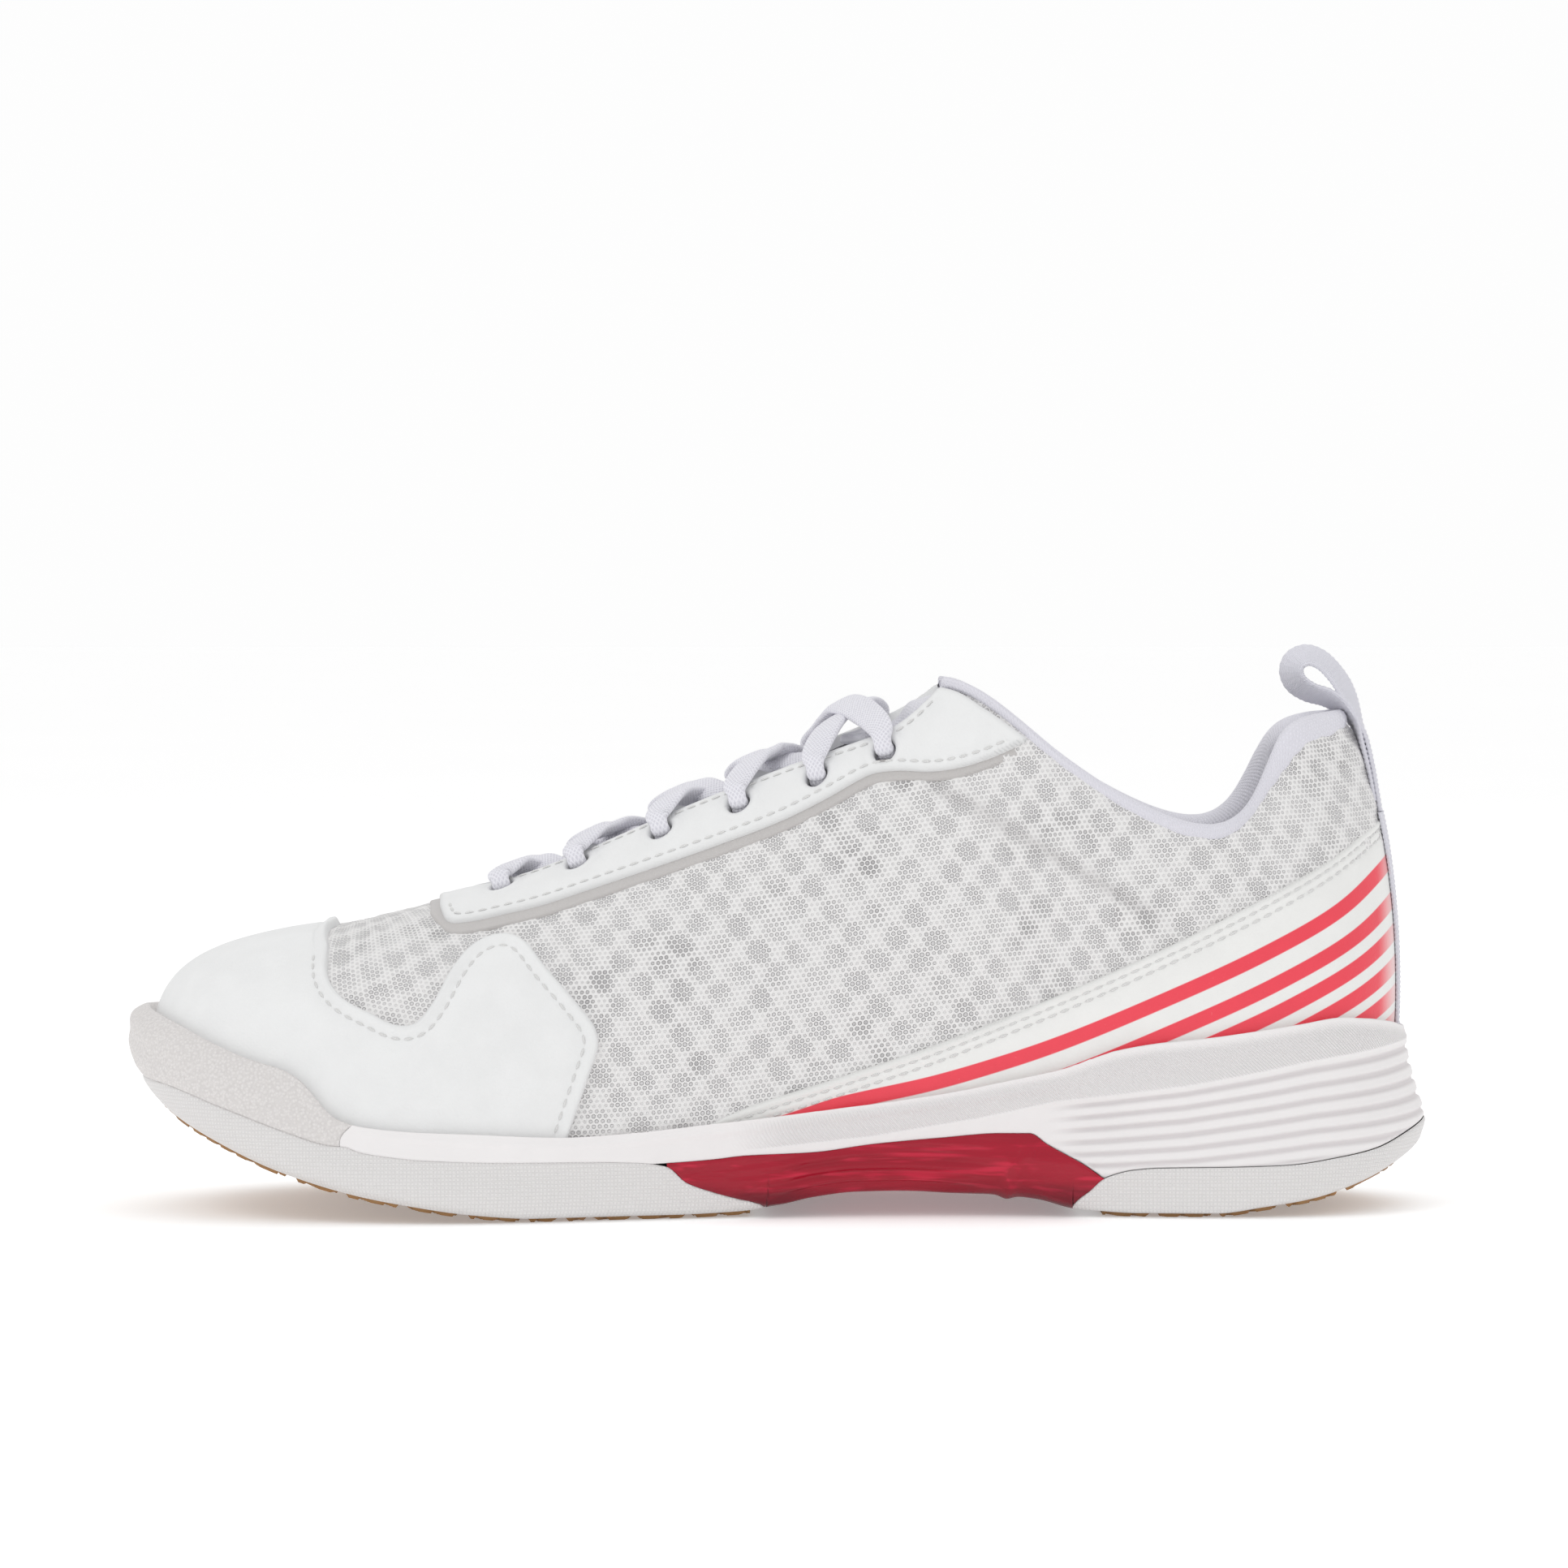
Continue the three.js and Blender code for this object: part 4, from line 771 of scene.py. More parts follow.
class Shader:
    """A material with one Principled shader. Patterns are in the piece's own space, with sizes in mm."""

    def __init__(self, name):
        self.material = bpy.data.materials.new(name)
        self.material.use_nodes = True
        self.tree = self.material.node_tree
        self.bsdf = next(n for n in self.tree.nodes if n.type == "BSDF_PRINCIPLED")

    def node(self, kind, output=0, settings=None, **inputs):
        """A new node's output. inputs go to the sockets of that name, or to i0, i1 and so on by number."""
        made = self.tree.nodes.new(kind)
        for key, value in (settings or {}).items():
            setattr(made, key, value)
        for key, value in inputs.items():
            self.feed(made.inputs[int(key[1:]) if key[1:].isdigit() else key], value)
        return Value(self, made.outputs[output])

    def feed(self, target, value):
        """Links a value, or sets a number, a vector, or a colour given without its alpha."""
        if isinstance(value, Value):
            self.tree.links.new(value.socket, target)
        else:
            target.default_value = (*value, 1) if target.type == "RGBA" else value

    def math(self, operation, a, b=0.0):
        return self.node("ShaderNodeMath", settings={"operation": operation}, i0=a, i1=b)

    def ramp(self, value, low, high, start=0.0, end=1.0):
        """Smooth step of value from low to high."""
        return self.node("ShaderNodeMapRange", settings={"interpolation_type": "SMOOTHSTEP"},
                         i0=value, i1=low, i2=high, i3=start, i4=end)

    def attribute(self, name):
        return self.node("ShaderNodeAttribute", "Fac", {"attribute_name": name})

    def uv(self):
        """Millimetres along and across the piece."""
        texture = self.node("ShaderNodeUVMap", settings={"uv_map": "mm"})
        return [self.node("ShaderNodeSeparateXYZ", axis, Vector=texture) for axis in ("X", "Y")]

    def place(self, along=1.0):
        """Position in the piece's own space; along shortens the shoe's length, which draws a pattern out."""
        return self.node("ShaderNodeVectorMath", settings={"operation": "MULTIPLY"},
                         i0=self.node("ShaderNodeTexCoord", "Object"), i1=(along / MM, 1 / MM, 1 / MM))

    def noise(self, size, detail=3.0, roughness=0.5, along=1.0):
        return self.node("ShaderNodeTexNoise", Vector=self.place(along), Scale=1 / size, Detail=detail,
                         Roughness=roughness)

    def cells(self, size, feature="F1"):
        return self.node("ShaderNodeTexVoronoi", "Distance", {"feature": feature}, Vector=self.place(),
                         Scale=1 / size)

    def wave(self, value, pitch):
        """A sine of the value, from 0 to 1."""
        return self.math("SINE", value * (2 * math.pi / pitch)) * 0.5 + 0.5

    def mix(self, share, a, b):
        made = self.tree.nodes.new("ShaderNodeMix")
        made.data_type = "RGBA"
        self.feed(made.inputs["Factor"], share)
        for key, colour in (("A", a), ("B", b)):
            self.feed(next(i for i in made.inputs if i.name == key and i.type == "RGBA"), colour)
        return Value(self, next(o for o in made.outputs if o.type == "RGBA"))

    def finish(self, colour, roughness, height=None, **fixed):
        """height is in mm."""
        settings = {"Base_Color": colour, "Roughness": roughness, **fixed}
        if height is not None:
            settings["Normal"] = self.node("ShaderNodeBump", Height=height, Distance=MM, Strength=1.0)
        for key, value in settings.items():
            self.feed(self.bsdf.inputs[key.replace("_", " ")], value)
        return self.material


def shade(colour, share):
    return [min(1, c * share) for c in colour]


def leather_base(m, colour):
    """Grained leather, greyer at its edges: its tint, its relief and the noise of its creases."""
    creases = m.noise(7, 4)
    tint = m.mix(m.ramp(creases, 0.3, 0.75), shade(colour, 0.97), colour)
    tint = m.mix(m.ramp(m.attribute("edge"), 0.0, 1.6), shade(colour, 0.9), tint)
    return tint, m.cells(0.55, "SMOOTH_F1") * 0.05 + creases * 0.12, creases


def leather_material():
    m = Shader("synthetic_leather")
    tint, relief, creases = leather_base(m, (0.83, 0.835, 0.835))
    return m.finish(tint, m.ramp(creases, 0.2, 0.8, 0.42, 0.56), relief, IOR=1.46)


def saddle_material():
    """The same leather with six printed stripes, which fade out towards the back seam."""
    m = Shader("printed_leather")
    tint, relief, creases = leather_base(m, (0.85, 0.85, 0.835))
    below, half, soft = m.attribute("stripe"), STRIPE_WIDTH / 2, 0.16
    bands = [m.ramp(m.math("ABSOLUTE", below - middle), half - soft, half + soft, 1.0, 0.0) for middle in STRIPES]
    ink = bands[0]
    for band in bands[1:]:
        ink = m.math("MAXIMUM", ink, band)
    ink = ink * m.ramp(m.attribute("along"), 135, 140.5, 1.0, 0.25)
    ink = ink * m.ramp(m.noise(0.7, 2), 0.16, 0.3, 0.86, 1.0)
    red = (0.80, 0.055, 0.085)
    tint = m.mix(ink, tint, m.mix(creases, red, shade(red, 1.12)))
    return m.finish(tint, m.ramp(ink, 0, 1, 0.5, 0.38), relief + ink * 0.03, IOR=1.46)


def mesh_material():
    """Knitted mesh: staggered clusters of small holes between closed, slightly raised ribs, with painted shade in the
    holes and a line of painted shade along the crease by the collar.
    """
    m = Shader("engineered_mesh")
    u, w = m.uv()
    # the second and third colours are painted shade for the holes, the fourth is painted shade along the crease
    colour, shallow_hole_shade, deep_hole_shade, crease_shade = (0.84, 0.83, 0.825), (0.60, 0.59, 0.60), (0.28, 0.27, 0.28), (0.52, 0.5, 0.5)

    def half_lattice(x, y, pitch, shift):
        """Distance to the nearest point of one half of a staggered lattice."""
        dx, dy = [
            (m.math("FRACT", value * (1 / step) + shift) - 0.5) * step for value, step in zip((x, y), pitch)
        ]
        return m.math("SQRT", dx * dx + dy * dy)

    def lattice(x, y, pitch):
        return m.math("MINIMUM", half_lattice(x, y, pitch, 0.0), half_lattice(x, y, pitch, 0.5))

    cluster = lattice(u, w + u * CLUSTER_LEAN, CLUSTER) + (m.noise(2.5, 2) - 0.5) * 2.4
    opened = m.ramp(cluster, 1.5, 4.2, 1.0, 0.0) * m.ramp(m.noise(7, 2), 0.35, 0.6, 0.45, 1.0)
    hole = m.ramp(lattice(u, w, HOLE_PITCH) - (opened * 0.17 + 0.25), -0.06, 0.14, 1.0, 0.0)
    fuzz = m.noise(0.3, 3, 0.6)
    # painted shade in the holes, grey to near black, in place of the shade inside them
    hole_shade = m.mix(m.ramp(m.noise(16, 2), 0.5, 0.72), shallow_hole_shade, deep_hole_shade)
    tint = m.mix(fuzz, shade(colour, 0.93), shade(colour, 1.05))
    # the holes take that painted shade, more of it where a cluster opens wider
    tint = m.mix(hole * (opened * 0.45 + 0.34), tint, hole_shade)
    # painted shade along the crease where the mesh leaves the collar padding
    tint = m.mix(m.attribute("fold") * 0.45, tint, crease_shade)
    height = hole * (opened * -0.4 + -0.14) + fuzz * 0.12 + m.ramp(cluster, 1.5, 5.0, 0.0, 0.35)
    return m.finish(tint, 0.85, height, Sheen_Weight=0.15, Sheen_Roughness=0.5)


def cloth_material(name="lining_cloth", colour=(0.84, 0.83, 0.9)):
    m = Shader(name)
    u, w = m.uv()
    loops = m.wave(u + w * 0.5, 0.8) * m.wave(u + w * -0.5, 0.8)
    fuzz = m.noise(0.5, 3)
    tint = m.mix(loops * (fuzz + 0.3), shade(colour, 0.86), colour)
    return m.finish(tint, 0.92, loops * 0.12 + fuzz * 0.08, Sheen_Weight=0.35, Sheen_Roughness=0.45)


def microfibre_material():
    m = Shader("microfibre")
    fuzz = m.noise(0.3, 4, 0.7)
    tint = m.mix(fuzz, (0.50, 0.48, 0.47), (0.62, 0.6, 0.59))
    return m.finish(tint, m.ramp(m.noise(6, 2), 0.2, 0.8, 0.85, 0.95), fuzz * 0.12, Sheen_Weight=0.3)


def webbing_material():
    m = Shader("webbing")
    u, w = m.uv()
    colour = (0.83, 0.825, 0.9)
    yarn = m.wave(w, 0.6)
    tint = m.mix(yarn * (m.noise(0.4, 3) + 0.35), shade(colour, 0.82), colour)
    return m.finish(tint, 0.85, yarn * 0.1 + m.wave(u, WEBBING_PITCH) * 0.14, Sheen_Weight=0.3, Sheen_Roughness=0.4)


def lace_material():
    """Flat tubular braid: two families of yarns that cross at a slant."""
    m = Shader("braided_lace")
    u, w = m.uv()
    braid = m.math("MAXIMUM", m.wave(u + w, 0.95), m.wave(u - w, 0.95))
    fuzz = m.noise(0.3, 3)
    tint = m.mix(braid * (fuzz + 0.4), (0.72, 0.71, 0.78), (0.88, 0.875, 0.93))
    return m.finish(tint, 0.82, braid * 0.16 + fuzz * 0.05, Sheen_Weight=0.3)


def foam_material():
    """Moulded foam, with a fine slanting hatch on the band under the heel's top edge, and painted shade in the
    grooves between the heel's ribs.
    """
    m = Shader("midsole_foam")
    u, w = m.uv()
    hatched = m.attribute("hatch")
    hatch = m.wave(u + w * 0.9, 0.95) * hatched
    tint = m.mix(m.noise(9, 3), (0.82, 0.80, 0.80), (0.86, 0.84, 0.84))
    tint = m.mix(m.math("SUBTRACT", 1.0, hatch) * (hatched * 0.25), tint, (0.74, 0.71, 0.72))
    # painted shade in the grooves between the heel's ribs
    tint = m.mix(m.attribute("groove") * 0.7, tint, (0.66, 0.62, 0.63))
    return m.finish(tint, 0.62, m.noise(0.8, 3) * 0.04 + hatch * 0.2)


def cup_material():
    """Moulded rubber with a fine square grid on its sides."""
    m = Shader("cup_rubber")
    u, w = m.uv()
    grid = m.ramp(m.math("MINIMUM", m.wave(u, 0.85), m.wave(w, 0.85)), 0.05, 0.5)
    specks = m.noise(1.2, 3)
    tint = m.mix(grid * (specks * 0.5 + 0.6), (0.73, 0.715, 0.71), (0.80, 0.785, 0.78))
    return m.finish(tint, 0.5, grid * 0.1 + specks * 0.03)


def bumper_material():
    m = Shader("bumper_rubber")
    pebbles = m.cells(0.75)
    tint = m.mix(m.ramp(pebbles, 0.1, 0.7), (0.78, 0.755, 0.745), (0.69, 0.665, 0.655))
    return m.finish(tint, 0.66, pebbles * -0.28 + m.noise(1.6, 4) * 0.16)


def shank_material():
    """Glossy crimson with streaks drawn out along the shoe, with painted shade that darkens it towards the ground."""
    m = Shader("shank_plastic")
    drawn_out = 0.07
    flow, streak = m.noise(5, 3, along=drawn_out), m.noise(1.6, 2, along=drawn_out)
    height = m.node("ShaderNodeSeparateXYZ", "Z", Vector=m.place())
    tint = m.mix(flow, (0.27, 0.002, 0.014), (0.44, 0.007, 0.03))
    tint = m.mix(m.ramp(streak, 0.5, 0.7), tint, (0.56, 0.012, 0.045))
    # painted shade: near black low down, towards the ground
    tint = m.mix(m.ramp(height + flow * 5, 5.5, 11.5), (0.13, 0.001, 0.01), tint)
    return m.finish(tint, m.ramp(streak, 0.3, 0.7, 0.16, 0.26), streak * 0.12, Specular_IOR_Level=0.35)


def gum_material():
    m = Shader("gum_rubber")
    tint = m.mix(m.noise(12, 3), (0.30, 0.155, 0.055), (0.39, 0.215, 0.085))
    tint = m.mix(m.ramp(m.noise(3, 4), 0.5, 0.75) * 0.35, tint, (0.20, 0.11, 0.05))
    return m.finish(tint, m.ramp(m.noise(5, 3), 0.3, 0.7, 0.42, 0.6), m.noise(0.5, 2) * 0.05,
                    Subsurface_Weight=0.1, Subsurface_Scale=0.003)


def thread_material():
    m = Shader("thread")
    u, w = m.uv()
    colour = (0.80, 0.80, 0.79)
    twist = m.wave(u + w * 0.8, 0.45)
    return m.finish(m.mix(twist, shade(colour, 0.84), colour), 0.6, twist * 0.06)


def tip_material():
    m = Shader("lace_tip")
    haze = m.noise(2, 2)
    tint = m.mix(haze, (0.78, 0.78, 0.82), (0.86, 0.86, 0.9))
    return m.finish(tint, m.ramp(haze, 0.3, 0.7, 0.2, 0.32), Coat_Weight=0.3)


def board_material():
    m = Shader("fibre_board")
    fibres = m.noise(0.9, 5, 0.7)
    return m.finish(m.mix(fibres, (0.5, 0.45, 0.36), (0.66, 0.61, 0.5)), 0.85, fibres * 0.1)


MATERIALS = {
    "leather": leather_material(),
    "saddle": saddle_material(),
    "mesh": mesh_material(),
    "tongue_mesh": cloth_material("tongue_cloth", (0.82, 0.815, 0.87)),
    "cloth": cloth_material(),
    "insole": cloth_material("insole_cloth", (0.42, 0.41, 0.43)),
    "microfibre": microfibre_material(),
    "webbing": webbing_material(),
    "lace": lace_material(),
    "midsole": foam_material(),
    "cup": cup_material(),
    "bumper": bumper_material(),
    "shank": shank_material(),
    "gum": gum_material(),
    "thread": thread_material(),
    "lace_tip": tip_material(),
    "stiffener": board_material(),
}


def dress(made, slot, *nodes, body="shoe", material=None):
    """Gives a piece its material, by slot unless one is named, and its body, and hides the CAD nodes that it stands
    for.
    """
    made.data.materials.append(MATERIALS[material or slot])
    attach(made, body)
    if nodes:
        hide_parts(*nodes)
    return made


def join(name, *pieces):
    """One object from several, with the touching borders welded."""
    with bpy.context.temp_override(active_object=pieces[0], selected_editable_objects=list(pieces)):
        bpy.ops.object.join()
    made = pieces[0]
    made.name = made.data.name = name
    weld(made.data)
    return made


# ---------------------------------------------------------------- the sole
CUP_LINE = profile(BUMPER_LOWER + CUP_UPPER + CUP_REAR + [(-2, 0.5)])
SHANK_LINE = profile([(-30, 12.9), (-21, 13.3)] + SHANK_UPPER)
HEEL_LINE = profile([(64.5, 0.5)] + SHANK_REAR[::-1] + [(72.6, 9)] + HEEL_CUP_UPPER)
HATCH_LINE = [
    (-20, 14), (20, 18), (44, 22), (62, 26), (73.5, 27.3), (91, 29.6), (108.5, 32.8), (120, 35), (150, 39),
]
BUMPER_END, CUP_END, HEEL_CUP_START = -97.6, -2.6, 65.5
SHANK_START, SHANK_END = -25.5, 72.6
FAR = 9.0  # a distance from the edge at which no material and no shape heeds it


def column_rows(s, low, high, count, margins=(0.0, 0.15, 0.4, 0.8, 1.3)):
    """Wall positions h down each column: close rows at both ends, even ones between. Also distances in mm from
    the column's two ends."""
    t = np.linspace(0, 1, 60)
    h = low[:, None] + (high - low)[:, None] * t
    p = Wall.point(np.repeat(s, 60), h.ravel()).reshape(len(s), 60, 3)
    run = np.concatenate([np.zeros((len(s), 1)), np.cumsum(np.linalg.norm(np.diff(p, axis=1), axis=2), 1)], 1)
    length = run[:, -1:]
    edge = np.array(margins)[None] * np.minimum(1, length / (2.6 * max(margins)))
    middle = np.linspace(0, 1, count + 2)[None, 1:-1]
    inner = edge[:, -1:] + (length - 2 * edge[:, -1:]) * middle
    rows = np.hstack([edge, inner, length - edge[:, ::-1]])
    out = np.stack([np.interp(rows[k], run[k], h[k]) for k in range(len(s))])
    return out, rows, length - rows


def wall_piece(name, s, low, high, count, shape, seams=(True, True), recess=0.45):
    """A piece of the sole's side between two lines. seams says which of its lower and upper edge is a seam;
    shape gives its relief and the marks that its material reads."""
    h, from_low, from_high = column_rows(s, low, high, count)
    ss = np.repeat(s[:, None], h.shape[1], 1)
    flat = (ss.ravel(), h.ravel())
    d = np.full(h.shape, FAR)
    for is_seam, distance in zip(seams, (from_low, from_high)):
        if is_seam:
            d = np.minimum(d, distance)
    relief, marks = shape(ss, h, Wall.point(*flat).reshape(*h.shape, 3), from_low, from_high)
    off = (relief - recess * (1 - rounded(d, 0.9))) * ease((WALL_TOP + 0.05 - h) / 0.35)
    points = Wall.at(*flat, off.ravel()).reshape(*h.shape, 3)
    texture = Wall.texture(*flat).reshape(*h.shape, 2)
    return grid_piece(name, points, texture, marks={"edge": d, **marks})


def between(a, b, t):
    """Straight rows of points from each point of a to its partner in b."""
    t = t[None, :, None]
    return a[:, None] * (1 - t) + b[:, None] * t


def flat_piece(name, points):
    """A piece whose texture is seen from above and whose edges aren't shown."""
    return grid_piece(name, points, points[..., :2].copy(), marks={"edge": np.full(points.shape[:2], FAR)})


def underside(name, s, rows=26, relief=lambda x, y: 0.0):
    """The floor of the sole between the two sides at the loop positions s and LOOP - s."""
    rim = [Wall.point(side, 0.0) for side in (s, LOOP - s)]
    p = between(*rim, np.linspace(0, 1, rows))
    p[..., 2] = rim_bottom(p[..., 0]) + 0.6 + relief(p[..., 0], p[..., 1])
    return flat_piece(name, p)


def x_to_s(x, lateral=False):
    """The loop position at which the sole's outline passes x."""
    s = np.linspace(0, HEEL, 1200)
    outline = OUTLINE(LOOP - s if lateral else s)[:, 0]
    found = np.interp(x, outline, s)
    return LOOP - found if lateral else found


def toe_columns(x, columns):
    """Loop positions from the lateral side at x round the toe to the medial side at x."""
    return np.linspace(x_to_s(x, True) - LOOP, x_to_s(x), columns)


def heel_columns(x, columns):
    """Loop positions from the medial side at x round the heel to the lateral side at x."""
    return np.linspace(x_to_s(x), x_to_s(x, True), columns)


def midsole_shape(ss, h, base, from_low, from_high):
    """A step under the hatched heel band, and the grooves between the ribs below it; the grooves' mark also tells the
    foam where to paint shade.
    """
    x, z = base[..., 0], base[..., 2]
    below = np.interp(x, *np.transpose(HATCH_LINE)) - z
    shelf = ease((below + 0.5) / 1.0) * fade(x, 52, 66)
    pitch = np.interp(x, [60, 145], [2.6, 3.7])
    phase = np.mod(below / pitch, 1)
    groove = ease((0.3 - np.abs(phase - 0.5)) / 0.22) * (below > 0.35) * fade(x, 58, 70)
    groove = groove * ease(from_low / 1.0)
    hatch = fade(x, -14, 2) * ease((-below - 0.3) / 0.5) * ease((WALL_TOP - h) / 0.35)
    lip = bell(h - 5.55, 0.22) * 0.35
    return -0.45 * shelf - 0.62 * groove + lip * fade(x, -96, -88), {"groove": groove, "hatch": hatch}


def midsole():
    s = heel_columns(-98, 980)
    x = OUTLINE(s)[:, 0]
    low = np.maximum(
        np.maximum(level(s, CUP_LINE) * (x < -2), level(s, SHANK_LINE) * (x > -30) * (x < 74)),
        level(s, HEEL_LINE) * (x > 70),
    )
    made = wall_piece("midsole_foam_body", s, low, np.full_like(s, WALL_END), 96, midsole_shape, (True, False))
    return dress(made, "midsole", "midsole")


def toe_bumper():
    s = toe_columns(BUMPER_END, 330)

    def shape(ss, h, base, from_low, from_high):
        ends = np.minimum(np.abs(ss - s[0]), np.abs(ss - s[-1])) * 22
        return -0.5 * (1 - rounded(ends, 1.2)) + 0.5 * ease(from_low / 3) * ease(ends / 4), {}

    low, high = level(s, CUP_LINE), np.full_like(s, WALL_END)
    return dress(wall_piece("toe_bumper_shell", s, low, high, 46, shape, (True, False)), "bumper", "toe_bumper")


def cup_shape(ss, h, base, from_low, from_high):
    """A raised rim along the lower edge of the wall, where it turns under."""
    return 0.3 * bell(h - 1.75, 0.3), {}


def cup(name, node, s, edge):
    """A rubber cup: the side of the sole up to an edge, and the floor inside it."""
    high = np.maximum(level(s, edge), 0.02)
    side = wall_piece(name + "_side", s, np.zeros_like(s), high, 26, cup_shape, (False, True))
    floor = underside(name + "_floor", s[(s >= 0) & (s <= HEEL)])
    return dress(join(name, side, floor), "cup", node)


def shank_shape(ss, h, base, from_low, from_high):
    """Long flutes that fan out from the waist, and a firm ridge near the rear end."""
    x, z = base[..., 0], base[..., 2]
    height = np.clip((z - rim_bottom(x)) / 14, 0, 1)
    flutes = np.sin(2 * np.pi * (height * 5 + (x - 20) / 160)) * fade(x, -14, 6) * fade(x, 50, 36)
    crest = bell(x - 56 - (z - 19) * 0.35, 1.8)
    ends = ease(from_low / 2.5) * ease(from_high / 2.5)
    return (0.4 * flutes + 0.8 * crest * ease(from_high / 7)) * ends, {}


def shank_side(name, s):
    x = OUTLINE(s)[:, 0]
    low = np.maximum(level(s, CUP_LINE) * (x < CUP_END), level(s, HEEL_LINE) * (x > HEEL_CUP_START))
    high = np.maximum(level(s, SHANK_LINE), low + 0.02)
    return wall_piece(name, s, low, high, 40, shank_shape, recess=0.3)


def shank():
    medial = np.linspace(x_to_s(SHANK_START), x_to_s(SHANK_END), 300)
    lateral = np.linspace(x_to_s(SHANK_END, True), x_to_s(SHANK_START, True), 300)
    flutes = lambda x, y: 0.5 * np.cos(y * 2 * np.pi / 9) * fade(x, -2, 12) * fade(x, 64, 50) + 0.2
    floor = underside("shank_floor", np.linspace(x_to_s(CUP_END), x_to_s(HEEL_CUP_START), 220), 90, flutes)
    sides = [shank_side(name, s) for name, s in (("shank_inner", medial), ("shank_outer", lateral))]
    return dress(join("shank_bridge", *sides, floor), "shank", "shank")


GROOVES = [-109.5, -98, -84.5, -71, -57.5, -49, -43, -33, -21, 84, 98, 113, 127]
CHEVRON = 5.2  # from one chevron of the tread to the next
TREAD_INSET = 6.3


def tread_relief(x, y):
    """Lugs: straight grooves across, and a chevron pattern between them."""
    across = np.min([np.abs(x - g) for g in GROOVES], axis=0)
    lug = ease((across - 1.0) / 0.4)
    chevron = np.abs(np.mod((x + np.abs(np.mod(y + 8, 16) - 8) * 0.9) / CHEVRON, 1) - 0.5) * CHEVRON
    return lug * ease((chevron - 0.55) / 0.45)


def tread(name, node, start, end):
    """A gum sheet let into the cup from below, between two loop positions; its sides turn up into the cup."""
    s = np.linspace(start, end, int((end - start) * 34))
    edges = [outline_point(side, TREAD_INSET) for side in (s, LOOP - s)]
    p = between(*edges, np.concatenate([[0, 0, 0], np.linspace(0, 1, 124), [1, 1, 1]]))
    rim = rim_bottom(p[..., 0])
    p[..., 2] = np.maximum(0, rim - 0.15 - 0.85 * tread_relief(p[..., 0], p[..., 1]))
    for k, lift in enumerate((1.0, 0.2, -0.1)):
        for column in (k, -1 - k):
            p[:, column, 2] = rim[:, column] + lift
    return dress(flat_piece(name, p), "gum", node)


# ---------------------------------------------------------------- the upper
def quarter_round(thick, radius, base=0.0):
    """The offset of a panel with a rounded edge, by the distance from that edge."""
    return lambda d: base + thick * rounded(d, radius)


def ridge_a(x):
    """The station at which the ridge passes x."""
    a = np.linspace(0, INSTEP + 1, 500)
    return float(np.interp(x, surface(a, 1.0)[:, 0], a))


def bottom_line(lateral, a0, a1, below):
    """Chart line under the sole's top edge, by below mm."""
    a = np.linspace(a0, a1, 80)
    v = share_at(LOOP - a if lateral else a, lambda x: wall_top(x) - below)
    return np.stack([a, 2 - v if lateral else v], 1)


def ridge(lateral):
    """The chart's b on the ridge, seen from one side."""
    return 1 + 1e-7 if lateral else 1.0


def top_meeting(extra):
    """The station at which the throat's edge meets the collar's top line."""
    a = np.linspace(INSTEP, INSTEP + 1.6, 400)
    top = surface(a, 1.0)
    return float(np.interp(0, np.abs(top[:, 1]) - throat_half(top[:, 0]) - extra, a))


def throat_edge(lateral, extra, to_x=None):
    """Chart line from the ridge at the throat's front along one edge, up to to_x or the top line."""
    side = 1 if lateral else -1
    front, meeting = THROAT_FRONT - extra, top_meeting(extra)
    first_x, first_y = THROAT_WIDTHS[0]
    reach_x, reach_y = first_x - front, first_y + extra
    end = surface(meeting, 1.0)[0] - 1.5 if to_x is None else to_x
    arc = [
        (first_x - reach_x * math.cos(t), -0.5 * (1 - math.sin(t)) + side * reach_y * math.sin(t))
        for t in np.radians([14, 30, 46, 62, 78, 90])
    ]
    edge = [(x, side * (throat_half(x) + extra)) for x in np.linspace(first_x + 3, end, 40)]
    found = (plan_find_lateral if lateral else plan_find)(arc + edge)
    points = [(ridge_a(front), ridge(lateral)), *found]
    if to_x is None:
        points.append((meeting, ridge(lateral)))
    return np.array(points)


THROAT_END = 37  # where the eyestay leaves the throat's edge


def eyelet_loops(lateral):
    """Round holes on the surface, one for each row of the lace."""
    loops, turn = [], full_turn(18)
    for x, inwards in zip(EYELET_ROWS, EYELET_INSETS):
        centre = in_plan([(x, (1 if lateral else -1) * (throat_half(x) + inwards))])[0]
        here = Upper.at(centre[:1], centre[1:])
        du = np.linalg.norm(Upper.at(centre[:1] + 0.01, centre[1:]) - here) / 0.01
        dv = np.linalg.norm(Upper.at(centre[:1], centre[1:] + 0.01) - here) / 0.01
        loops.append(centre + np.stack([np.cos(turn) * EYELET_RADIUS / du, np.sin(turn) * EYELET_RADIUS / dv], 1))
    return loops


def halves(name, build):
    """Builds a panel's medial and lateral half and welds them along the ridge."""
    return join(name, build(name + "_m", False), build(name + "_l", True))


COLLAR_SEAM = [(30, 98), (44, 91), (58, 82.5), (73, 73.5), (89, 64.2)]


def side_distance(points, base):
    """Signed distance, in side view, below a curve drawn as [x, z]."""
    path = smooth_path(points, 160)
    flat = base[:, [0, 2]]
    gap = flat[:, None] - path[None]
    nearest = np.argmin((gap ** 2).sum(2), 1)
    along = unit(np.gradient(path, axis=0))[nearest]
    diff = flat - path[nearest]
    return -(along[:, 0] * diff[:, 1] - along[:, 1] * diff[:, 0])


def fold_line(base):
    """Distance below the crease where the mesh leaves the collar padding, and how much of a crease there is."""
    return side_distance(COLLAR_SEAM, base), fade(base[:, 0], 30, 38) * fade(base[:, 0], 89, 79)


# marks where shade is painted along the crease
def crease_shade_marks(u, v, base):
    below, span = fold_line(base)
    return {"fold": bell(below + 1.0, 1.5) * span}


